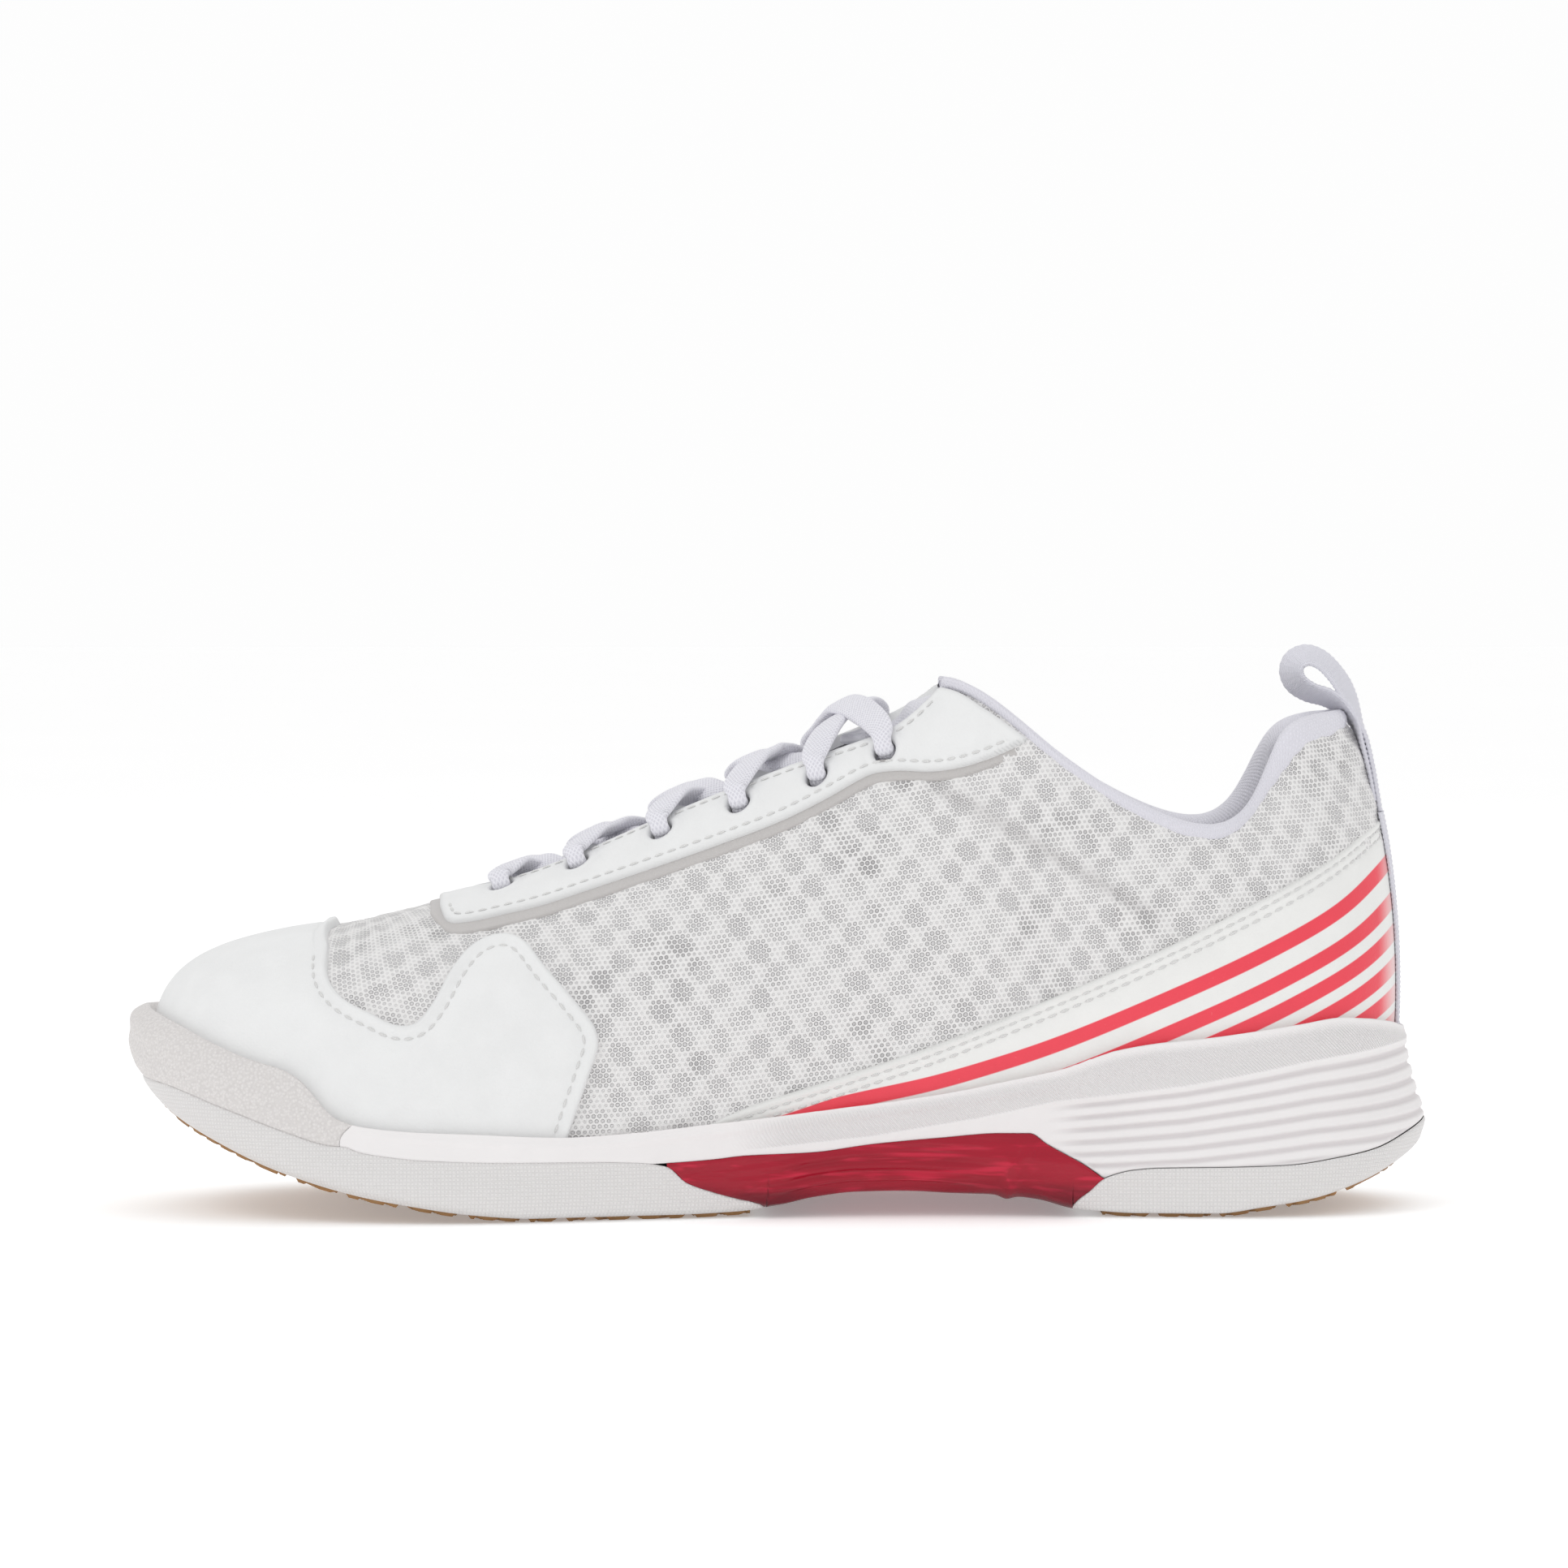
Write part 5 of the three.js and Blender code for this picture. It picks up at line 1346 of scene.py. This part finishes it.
def mesh_relief(u, v, base, d):
    """The padded collar, the dips at the clusters of holes, the crease, and a foot that meets the midsole."""
    x, z = base[:, 0], base[:, 2]
    puff = fade(z, 62, 88) * fade(x, 40, 65) * 1.1
    along, up = Upper.texture(u, v).T
    axes = list(zip((along, up + CLUSTER_LEAN * along), CLUSTER))
    dip = np.min([
        np.hypot(*[(np.mod(value / pitch + shift, 1) - 0.5) * pitch for value, pitch in axes]) for shift in (0, 0.5)
    ], axis=0)
    from_ridge = np.abs(1 - v) * Upper.scale[1]
    pillow = 0.42 * ease((dip - 1.2) / 3.2) * ease(d / 3) * ease(from_ridge / 6)
    below, span = fold_line(base)
    fold = ease((below + 1.3) / 2.2) * bell(np.maximum(below, 0), 7) * span
    foot = 1.1 * ease((wall_top(x) + 5 - z) / 5) * fade(x, -54, -46) * fade(x, 0, -18)
    return puff + pillow - 0.2 + fold + foot


def mesh_half(name, lateral):
    b = ridge(lateral)
    collar_line = np.stack([np.linspace(HEEL, top_meeting(1), 120), np.full(120, b)], 1)
    throat = throat_edge(lateral, 1)
    low = bottom_line(lateral, 0, HEEL, 3)
    sides = [
        (low, False), link(low[-1], collar_line[0]), (collar_line, False), (throat[::-1], True),
        link(throat[0], (0, b)), link((0, b), low[0]),
    ]
    return patch(name, Upper, sides, quarter_round(0.4, 0.5, -0.4), 1.7, eyelet_loops(lateral), None,
                 (0.2, 0.6, 1.2), mesh_relief, crease_shade_marks)


def mesh_upper():
    made = halves("mesh_vamp_and_quarters", mesh_half)
    made.modifiers.new("thickness", "SOLIDIFY").thickness = MESH_SHEET * MM
    return dress(made, "mesh", "mesh_upper")


def eyestay_height(d):
    """A thick rounded edge, and the groove under its row of stitches."""
    return 0.75 + (EYESTAY_TOP - 0.75) * rounded(d, 0.75) - 0.16 * bell(d - FACING_STITCH, 0.5)


def eyestay_half(name, lateral):
    lower = np.vstack([[(ridge_a(-78.6), ridge(lateral))], facing_edge(lateral)])
    ear = on_side(EAR_TOP, lateral)
    throat = throat_edge(lateral, 0, THROAT_END)[::-1]
    sides = [(lower, True), (np.vstack([lower[-1:], ear]), True), (np.vstack([ear[-1:], throat]), True),
             link(throat[-1], lower[0])]
    return patch(name, Upper, sides, eyestay_height, 1.9, eyelet_loops(lateral), -1.4,
                 (0.12, 0.35, 0.7, 1.2, 1.7, 2.2, 2.7))


def facing_edge(lateral):
    return on_side([(-77.8, 68.6), *EYESTAY_LOWER], lateral, 90)


def eyestay():
    return dress(halves("lace_facing", eyestay_half), "leather", "eyestay")


def underlay_half(name, lateral):
    b = ridge(lateral)
    drop = [(x + 0.6, z - 1.9) for x, z in EYESTAY_LOWER]
    lower = np.vstack([[(ridge_a(-81), b)], on_side([(-80, 67.4), *drop], lateral, 90)])
    rise = [(x - 1.2, z + 2.6) for x, z in EYESTAY_LOWER]
    upper = np.vstack([[(ridge_a(-74.5), b)], on_side([(-73.6, 69.4), *rise[1:]], lateral, 90)])
    sides = [(lower, True), link(lower[-1], upper[-1]), (upper[::-1], False), link(upper[0], lower[0])]
    return patch(name, Upper, sides, quarter_round(UNDERLAY_THICK, 0.4), 1.8, (), -0.3, (0.12, 0.35, 0.8))


def eyestay_underlay():
    """The backing that shows as a narrow band below and in front of the eyestay."""
    return dress(halves("eyestay_backing", underlay_half), "microfibre", "eyestay_underlay")


def welt(d):
    """The toe cap's folded rear edge, its stitch groove, and the flat leather beyond."""
    return 1.95 * rounded(d, 0.85) - 0.75 * ease((d - 1.2) / 1.3) - 0.25 * bell(d - TOE_CAP_STITCH, 0.45)


def toe_cap_edge(lateral):
    return on_side(TOE_CAP_REAR[1:], lateral, 150)


def toe_cap_half(name, lateral):
    b = ridge(lateral)
    low = bottom_line(lateral, 0, on_side([(-49, 14.5)], lateral)[0, 0], 4)
    rear = np.vstack([[(ridge_a(-101.4), b)], toe_cap_edge(lateral)])
    above = (rear[:, 1] - low[-1, 1]) * (-1 if lateral else 1) > 0.01
    rear = rear[above]
    sides = [(low, False), (np.vstack([low[-1:], rear[::-1]]), True), link(rear[0], (0, b)), link((0, b), low[0])]
    return patch(name, Upper, sides, welt, 1.9, (), -0.3, (0.12, 0.4, 0.85, 1.3, 1.9, 2.5, 2.9, 3.3, 3.8))


def toe_cap():
    return dress(halves("toe_cap_leather", toe_cap_half), "leather", "toe_cap")


def saddle_fold(d):
    """The saddle's folded upper edge, with a groove under each of its two rows of stitches."""
    grooves = sum(bell(d - row, 0.4) for row in SADDLE_STITCHES)
    return 1.35 * rounded(d, 0.65) - 0.2 * ease((d - 1) / 1.2) - 0.32 * grooves


def saddle_stripes(u, v, base):
    return {"stripe": side_distance(FIRST_STRIPE, base), "along": base[:, 0]}


def saddle(name, node, lateral):
    upper = on_side(SADDLE_UPPER, lateral, 150)
    upper = np.vstack([upper, [(HEEL, upper[-1, 1] + (upper[-1, 1] - upper[-2, 1]))]])
    low = bottom_line(lateral, upper[0, 0], HEEL, 4)
    sides = [(low, False), link(low[-1], upper[-1]), (upper[::-1], True), link(upper[0], low[0], True)]
    made = patch(name, Upper, sides, saddle_fold, 1.8, (), -0.3,
                 (0.12, 0.35, 0.65, 1.0, 1.5, 1.9, 2.4, 3.2, 3.7, 4.2), marks=saddle_stripes)
    return dress(made, "saddle", node)


# ---------------------------------------------------------------- stitching
STITCH_PITCH, STITCH_LENGTH, STITCH_RADIUS = 3.0, 2.15, 0.27


def stitches(name, slot, rows):
    """Short raised threads along chart lines. Each row is (line, offset of the surface under it)."""
    points, faces, texture = [], [], []
    around = along = 7
    turn = full_turn(around)
    for row, off in rows:
        a, b = even(Upper, row, 0.5).T
        p = Upper.at(a, b, off)
        up = unit(Upper.at(a, b, off + 1) - p)
        run = run_of(p)
        for start in np.arange(STITCH_PITCH, run[-1] - STITCH_PITCH, STITCH_PITCH):
            a, b = at_length(p, run, start), at_length(p, run, start + STITCH_LENGTH)
            n = unit(at_length(up, run, start + STITCH_LENGTH / 2))
            side = unit(np.cross(unit(b - a), n))
            first = len(points)
            for t in np.linspace(0, 1, along):
                swell = STITCH_RADIUS * math.sqrt(max(0.03, 1 - (2 * t - 1) ** 4))
                centre = a + (b - a) * t + n * (0.16 * math.sin(math.pi * t) - 0.06)
                for c in turn:
                    points.append(centre + (side * math.cos(c) * 1.15 + n * math.sin(c)) * swell)
                    texture.append((start + t * STITCH_LENGTH, c * STITCH_RADIUS))
            for k in range(along - 1):
                for c in range(around):
                    i, j = first + k * around + c, first + k * around + (c + 1) % around
                    faces.append((i, j, j + around, i + around))
            ends = [tuple(first + k * around + c for c in range(around)) for k in (0, along - 1)]
            faces += [ends[0][::-1], ends[1]]
    made = obj_of(name, make_mesh(name, np.array(points), faces, np.array(texture)))
    return dress(made, slot, material="thread")


def panel_stitching():
    on_leather, on_saddle = 1.0, 0.92
    toe_rows, facing_rows, saddle_rows = [], [], []
    for lateral in (False, True):
        def row(edge, distance, inwards, off):
            turn = -inwards if lateral else inwards
            return inset(Upper, even(Upper, edge, 1.5), distance, turn), off

        toe_rows.append(row(toe_cap_edge(lateral), TOE_CAP_STITCH, -1, on_leather))
        facing_rows.append(row(facing_edge(lateral), FACING_STITCH, 1, EYESTAY_TOP - 0.1))
        facing_rows.append(row(throat_edge(lateral, 0, THROAT_END)[3:], THROAT_STITCH, -1, EYESTAY_TOP - 0.1))
        upper = on_side(SADDLE_UPPER, lateral, 150)
        saddle_rows += [row(upper, distance, -1, on_saddle) for distance in SADDLE_STITCHES]
    stitches("toe_cap_stitching", "leather", toe_rows)
    stitches("lace_facing_stitching", "leather", facing_rows)
    stitches("saddle_stitching", "saddle", saddle_rows)


# ---------------------------------------------------------------- collar, lining and insole
PAD_DEPTH = profile([(9.5, 0.3), (10.3, 0.5), (11, 2), (12, 4.4), (13, 5.4), (15, 6.4), (17, 7)])
PAD_SHAPE = [(0.38, 0.08), (0.58, 0.45), (0.73, 0.92), (0.84, 1), (0.93, 0.95), (1, 0.7)]
PAD_FACE = -1.5
COLLAR_START = 9.72
INSOLE_THICK = 2.8
SEAM_SHARE = profile([(9.6, 0.955), (11.5, 0.945), (13, 0.935), (14, 0.92), (15, 0.885), (16, 0.885), (17, 0.93)])


def collar_ring(s):
    """Section of the collar's cloth at one loop position as (v, off, lift)."""
    station = min(s, LOOP - s)
    seam, depth = float(SEAM_SHARE(station)), float(PAD_DEPTH(station))
    opened, closed = float(fade(station, 9.7, 10.2)), float(ease((station - 9.7) / 0.12))
    face = lambda share: -1.1 + opened * (min(LINING_OFFSET, PAD_FACE - 0.5 - depth * share) + 0.5)
    inner = [(v, face(share), 0.0) for v, share in PAD_SHAPE]
    top = inner[-1][1]
    puff = 0.7 + 0.4 * float(ease((station - 10) / 2.5))
    return [
        (seam - 0.004, -0.35, 0), (seam, 0.75 * closed, 0), ((seam + 1) / 2, (1.9 + puff) * closed - 0.75, 0),
        (1, (1.7 + puff * 0.8) * closed - 0.75, 0.15), (1, (0.3 + top) / 2, (1.1 + puff * 0.35) * closed),
        (1, top, 0.3), *inner[::-1][1:], (0.18, face(0), 0), (0.03, LINING_OFFSET - LINING_THICK, 0),
    ]


def collar():
    loop = np.linspace(COLLAR_START, LOOP - COLLAR_START, 420)
    rings = [np.array(collar_ring(s)) for s in loop]
    points = np.array([smooth_path(place(s, *ring.T), 84) for s, ring in zip(loop, rings)])
    run = run_of(points[:, 20])
    texture = np.array([np.stack([np.full(84, along), run_of(ring)], 1) for along, ring in zip(run, points)])
    made = dress(grid_piece("collar_padding", points, texture), "cloth", "collar_lining", "collar_foam")
    return made


def vamp_lining():
    s = np.linspace(-9.6, 9.6, 260)
    top = np.interp(np.abs(s), [0, 4.6, 5.4, 9.6], [1.0, 1.0, 0.8, 0.66])
    v = 0.03 + (top - 0.03)[:, None] * np.linspace(0, 1, 40)[None]
    points = place(s[:, None], v, LINING_OFFSET - LINING_THICK / 2)
    made = grid_piece("forefoot_lining", points, sheet(s * 20, np.linspace(0, 80, 40)))
    made.modifiers.new("thickness", "SOLIDIFY").thickness = -LINING_THICK * MM
    return dress(made, "cloth", "vamp_lining")


def insole():
    """A moulded foam sheet with a raised rim, covered in cloth."""
    inset_by, rise = 4.4, 5.1  # from the upper's surface, and over the footbed
    s = np.linspace(0, HEEL, 300)
    base, twin = [place(side, 0.0, -inset_by) for side in (s, LOOP - s)]
    t = np.linspace(0, 1, 60)
    p = between(base, twin, t)
    edge = np.minimum(t, 1 - t)[None] * np.linalg.norm(twin - base, axis=1)[:, None]
    ends = np.minimum(s, HEEL - s)[:, None] * 12
    near = np.minimum(edge, ends + 1)
    p[..., 2] = footbed(p[..., 0]) + rise + 0.9 * bell(near, 6) - 1.3 * (1 - ease(near / 1.2))
    made = grid_piece("insole_cushion", p, p[..., :2].copy())
    made.modifiers.new("thickness", "SOLIDIFY").thickness = -INSOLE_THICK * MM
    dress(made, "insole", "insole")
    return made


# ---------------------------------------------------------------- tongue
TONGUE_GAP = -4.7


def tongue():
    """Sections across the instep; past the last ridge station they carry on along the ridge."""
    rings = []
    past = unit(np.array([1.0, 0, 0.3]))
    cross = np.linspace(-1, 1, 31)
    half = np.concatenate([np.linspace(0.705, 1, 16), np.linspace(0.985, 0.705, 15)])
    for s in np.linspace(4.5, 10.9, 190):
        thick = np.interp(s, [4.5, 5, 9.2, 9.8, 10.6, 10.9], [2.4, 4.0, 4.0, 6.6, 6.2, 4.6])
        end = math.sqrt(max(0.0, 1 - max(0.0, (s - 10.6) / 0.32) ** 2))
        station = min(s, INSTEP)
        loop = np.where(np.arange(31) < 16, station, LOOP - station)
        rounding = np.sqrt(np.maximum(0.0, 1 - np.abs(cross) ** 6)) * (0.35 + 0.65 * end)
        quilt = 0.35 * np.cos(cross * np.pi * 2.5) * ease((9.4 - s) / 0.5) * (np.abs(cross) < 0.95)
        crown = 3.6 * ease((s - 8.9) / 0.7) * np.exp(-((cross / 0.55) ** 4))
        middle = TONGUE_GAP - thick / 2
        top = place(loop, half, middle + (thick / 2 + quilt + crown) * rounding)
        under = place(loop, half, middle - thick / 2 * rounding)
        rings.append(np.vstack([top, under[::-1][1:-1]]) + past * 10 * max(0.0, s - INSTEP))
    points = np.array(rings)
    texture = sheet(run_of(points[:, 15]), run_of(points[100]))
    made = capped(grid_piece("tongue_cushion", points, texture, close_v=True))
    dress(made, "tongue_mesh", "tongue_shell", "tongue_foam", "tongue_lining", "tongue_pad", body="tongue")
    return made


# ---------------------------------------------------------------- lace
FACING_TOP = 1.9
LACE_TURN = (FACING_TOP + MESH_THICK) / 2 + 1.55  # radius of the lace's half circle through an eyelet
LACE_MIDDLE = (FACING_TOP - MESH_THICK) / 2
LACE_ABOVE, LACE_BENEATH = LACE_MIDDLE + LACE_TURN, LACE_MIDDLE - LACE_TURN


def eyelet_at(row, side):
    x = EYELET_ROWS[row]
    return x, side * (float(throat_half(x)) + EYELET_INSETS[row])


def inwards(y, distance):
    return y - math.copysign(distance, y)


def lace_turn(spot, upwards):
    """The half circle through an eyelet, as (x, y, height, width)."""
    x, y = spot
    turn = []
    for angle in np.radians(np.linspace(-90, 90, 7)):
        inside_hole = abs(math.degrees(angle)) < 80
        turn.append((x, inwards(y, LACE_TURN - 0.5 - LACE_TURN * math.cos(angle)),
                     LACE_MIDDLE + LACE_TURN * math.sin(angle), LACE_IN_EYELET if inside_hole else 5.8))
    return turn if upwards else turn[::-1]


def lace_span(start, end, middle, last):
    """The lace from one eyelet's top across the throat to under the next, as (x, y, height, width)."""
    shares = (0.2, 0.35, 0.5, 0.65, 0.8)
    heights = np.interp(shares, (0.2, 0.5, 0.8), (LACE_ABOVE, middle, last))
    y0, y1 = inwards(start[1], LACE_TURN - 0.5), inwards(end[1], LACE_TURN - 0.5)
    return [
        (start[0] + (end[0] - start[0]) * share, y0 + (y1 - y0) * share, height, LACE_WIDTH)
        for share, height in zip(shares, heights)
    ]


def lace_half(side):
    """Criss-cross from the front row up to the top, where the end is tucked in."""
    path, at = [], side
    top_row = len(EYELET_ROWS) - 1
    for row in range(top_row):
        over = 1.25 if (at > 0) == (row % 2 == 0) else -1.25
        start, end = eyelet_at(row, at), eyelet_at(row + 1, -at)
        last = row == top_row - 1
        middle, arrival = (LACE_ABOVE, LACE_ABOVE) if last else (LACE_MIDDLE, LACE_BENEATH)
        path += lace_turn(start, True) + lace_span(start, end, middle + over, arrival)
        at = -at
    x, y = eyelet_at(top_row, at)
    tucked = [(x - 2, inwards(y, 5.5), LACE_BENEATH, 5), (x - 5, inwards(y, 8), LACE_BENEATH, 3.4)]
    return path + lace_turn((x, y), False) + tucked


def lace_frames(waypoints, count):
    way = smooth_path(waypoints, count)
    spots = in_plan(way[:, :2])
    centre = Upper.at(spots[:, 0], spots[:, 1], way[:, 2])
    along = unit(np.gradient(centre, axis=0))
    out = unit(Upper.at(spots[:, 0], spots[:, 1], way[:, 2] + 1) - centre)
    edge = np.array([[1.0, 0, 0]]) - out * out[:, :1]
    across = unit(edge - along * (edge * along).sum(1, keepdims=True))
    for _ in range(3):
        across = unit(np.vstack([across[:1], across[:-2] + across[1:-1] * 2 + across[2:], across[-1:]]))
    return centre, along, across, np.cross(across, along), way[:, 3]


def lace():
    medial, lateral = lace_half(-1), lace_half(1)
    bar = [(EYELET_ROWS[0], medial[0][1] * share, LACE_BENEATH, LACE_WIDTH - 0.4) for share in (0.5, 0, -0.5)]
    count = 900
    centre, along, across, up, width = lace_frames(medial[::-1] + bar + lateral, count)
    turn = full_turn(20)
    flat_c, flat_s = squared(np.cos(turn), 0.8), squared(np.sin(turn), 0.85)
    thick = LACE_THICK * (1 + (LACE_WIDTH - width) * 0.1)
    ends = np.minimum(np.arange(count), np.arange(count)[::-1])
    width = width * np.interp(ends, [0, 12], [0.55, 1])
    spread = flat_c[None] * width[:, None] / 2
    rise = flat_s[None] * thick[:, None] / 2
    points = centre[:, None] + across[:, None] * spread[..., None] + up[:, None] * rise[..., None]
    texture = np.stack([np.repeat(run_of(centre)[:, None], 20, 1), spread], 2)
    dress(capped(grid_piece("woven_lace", points, texture, close_v=True)), "lace", "lace")
    lace_tip("lace_end_medial", "lace_tip_medial", centre[0], -unit(along[0]), across[0])
    lace_tip("lace_end_lateral", "lace_tip_lateral", centre[-1], unit(along[-1]), across[-1])


def lace_tip(name, node, start, axis, across):
    """A shrunk plastic sleeve over the lace's last stretch."""
    up = np.cross(across, axis)
    shape = [(0.0, 0.9), (0.3, 1.25), (0.9, 1.3), (3, 1.22), (5.5, 1.18), (7.4, 1.08), (8.0, 0.85), (8.2, 0.4)]
    turn = full_turn(20)
    rings = [
        start + axis * (t - 0.6) + (across[None] * np.cos(turn)[:, None] * 1.1 + up[None] * np.sin(turn)[:, None]) * r
        for t, r in shape
    ]
    dress(capped(grid_piece(name, np.array(rings), close_v=True)), "lace_tip", node)


# ---------------------------------------------------------------- webbing at the heel
def webbing_section(count, thick):
    """Places across and outwards round the webbing's flat section."""
    turn = full_turn(count)
    return squared(np.cos(turn), 0.35) * WEBBING_WIDTH / 2, squared(np.sin(turn), 0.6) * thick / 2


def webbing_ribs(run):
    return 1 + 0.16 * np.sin(run * 2 * np.pi / WEBBING_PITCH)


def heel_strip():
    """The strip bends round the heel, so it is laid on the surface."""
    v = np.linspace(0.13, 0.625, 190)
    across, rise = webbing_section(32, 1.1)
    spread = surface(HEEL + 0.05, v)[:, 1] / 0.05
    run = run_of(surface(HEEL, v))
    s = HEEL + across[None] / spread[:, None]
    points = place(s, v[:, None], 1.65 + rise[None] * webbing_ribs(run)[:, None])
    made = capped(grid_piece("back_seam_strip", points, sheet(run, across), close_v=True))
    return dress(made, "webbing", "heel_strip")


PULL_LOOP = [
    (137.9, 90.6), (137, 96), (135.9, 102), (133.9, 110), (131, 117), (128, 121.9), (124.6, 125.3), (121.4, 126.4),
    (118.7, 125.3), (117.7, 122.9), (118.7, 120.1), (121.8, 117.9), (125.9, 116.6), (129.9, 114), (132.4, 110.4),
    (134.2, 104.5), (135.5, 99), (136.6, 93),
]


def pull_loop():
    """Webbing along a side-view path. Its width runs across the shoe, but for a twist towards the top."""
    count = 420
    flat = smooth_path(PULL_LOOP, count)
    path = np.stack([flat[:, 0], np.zeros(count), flat[:, 1]], 1)
    along = unit(np.gradient(path, axis=0))
    outwards = np.stack([along[:, 2], np.zeros(count), -along[:, 0]], 1)
    twist = (np.radians(26) * ease((flat[:, 1] - 106) / 14))[:, None]
    level_way = np.array([[0, 1.0, 0]])
    side = level_way * np.cos(twist) + outwards * np.sin(twist)
    normals = outwards * np.cos(twist) - level_way * np.sin(twist)
    run = run_of(path)
    across, rise = webbing_section(28, 1.25)
    points = (
        path[:, None] + side[:, None] * across[None, :, None]
        + normals[:, None] * (rise[None] * webbing_ribs(run)[:, None])[..., None]
    )
    made = capped(grid_piece("heel_pull_loop", points, sheet(run, across), close_v=True))
    return dress(made, "webbing", "pull_loop", body="pull_loop")


# ---------------------------------------------------------------- light, floor and camera
def floor_material():
    m = Shader("studio_floor")
    tint = m.mix(m.noise(400, 2), (0.90, 0.90, 0.90), (0.92, 0.92, 0.92))
    return m.finish(tint, 0.9, Emission_Strength=0.255, Emission_Color=(1, 1, 1))


def studio():
    half = 12.0  # of the floor's side, in metres
    corners = [(x * half, y * half, 0) for x, y in ((-1, -1), (1, -1), (1, 1), (-1, 1))]
    mesh = bpy.data.meshes.new("studio_floor")
    mesh.from_pydata(corners, [], [(0, 1, 2, 3)])
    floor = obj_of("studio_floor", mesh)
    mesh.materials.append(floor_material())
    world = bpy.data.worlds.new("studio")
    world.use_nodes = True
    shown = world.node_tree.nodes["Background"]
    shown.inputs[0].default_value = (1, 1, 1, 1)
    path = world.node_tree.nodes.new("ShaderNodeLightPath")
    strength = world.node_tree.nodes.new("ShaderNodeMapRange")
    strength.inputs["To Min"].default_value, strength.inputs["To Max"].default_value = 0.8, 0.985
    world.node_tree.links.new(path.outputs["Is Camera Ray"], strength.inputs["Value"])
    world.node_tree.links.new(strength.outputs[0], shown.inputs[1])
    bpy.context.scene.world = world
    for name, place_at, energy, width in (
        ("key", (-0.8, -0.8, 1.3), 3.2, 0.6), ("fill", (1.2, -0.8, 0.6), 0.3, 0.9),
        ("rim", (0.4, 1.2, 1.0), 1.6, 0.9), ("top", (0, 0.1, 1.6), 2.0, 1.2),
    ):
        light = bpy.data.lights.new(name, "AREA")
        light.energy, light.size = energy, width
        lamp = bpy.data.objects.new(name, light)
        aimed_at(lamp, place_at, Vector((0, 0, 0.05)))
        bpy.context.scene.collection.objects.link(lamp)


CAMERA_TARGET = Vector((0.0007, -0.03, 0.0977))
CAMERA_TILT = math.radians(2)
PICTURE_WIDTH = 0.3536  # metres across the picture at the target


def aimed_at(made, place_at, target):
    """Puts a camera or a lamp at a place in metres, looking at a target."""
    made.location = place_at
    made.rotation_euler = (target - made.location).to_track_quat("-Z", "Y").to_euler()


def camera():
    data = bpy.data.cameras.new("view")
    data.lens, data.sensor_width = 130, 36
    made = bpy.data.objects.new("view", data)
    back = Vector((0, -math.cos(CAMERA_TILT), math.sin(CAMERA_TILT)))
    aimed_at(made, CAMERA_TARGET + back * (PICTURE_WIDTH * data.lens / data.sensor_width), CAMERA_TARGET)
    bpy.context.scene.collection.objects.link(made)
    bpy.context.scene.camera = made
    bpy.context.scene.view_settings.view_transform = "Standard"


def inner_parts():
    """The stiffeners keep their CAD shape, and get their board."""
    for node in ("toe_puff", "heel_counter", "insole_board"):
        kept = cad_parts[node]
        kept.data.materials.clear()
        kept.data.materials.append(MATERIALS["stiffener"])


camera()
studio()
inner_parts()
midsole()
toe_bumper()
cup("forefoot_cup_shell", "forefoot_cup", toe_columns(CUP_END, 620), CUP_LINE)
cup("heel_cup_shell", "heel_cup", heel_columns(HEEL_CUP_START, 430), HEEL_LINE)
shank()
tread("forefoot_gum", "forefoot_tread", 0.0, x_to_s(-6))
tread("heel_gum", "heel_tread", x_to_s(72), HEEL)
mesh_upper()
eyestay_underlay()
eyestay()
toe_cap()
saddle("inner_side_panel", "medial_saddle", False)
saddle("outer_side_panel", "lateral_saddle", True)
panel_stitching()
collar()
vamp_lining()
insole()
tongue()
lace()
heel_strip()
pull_loop()
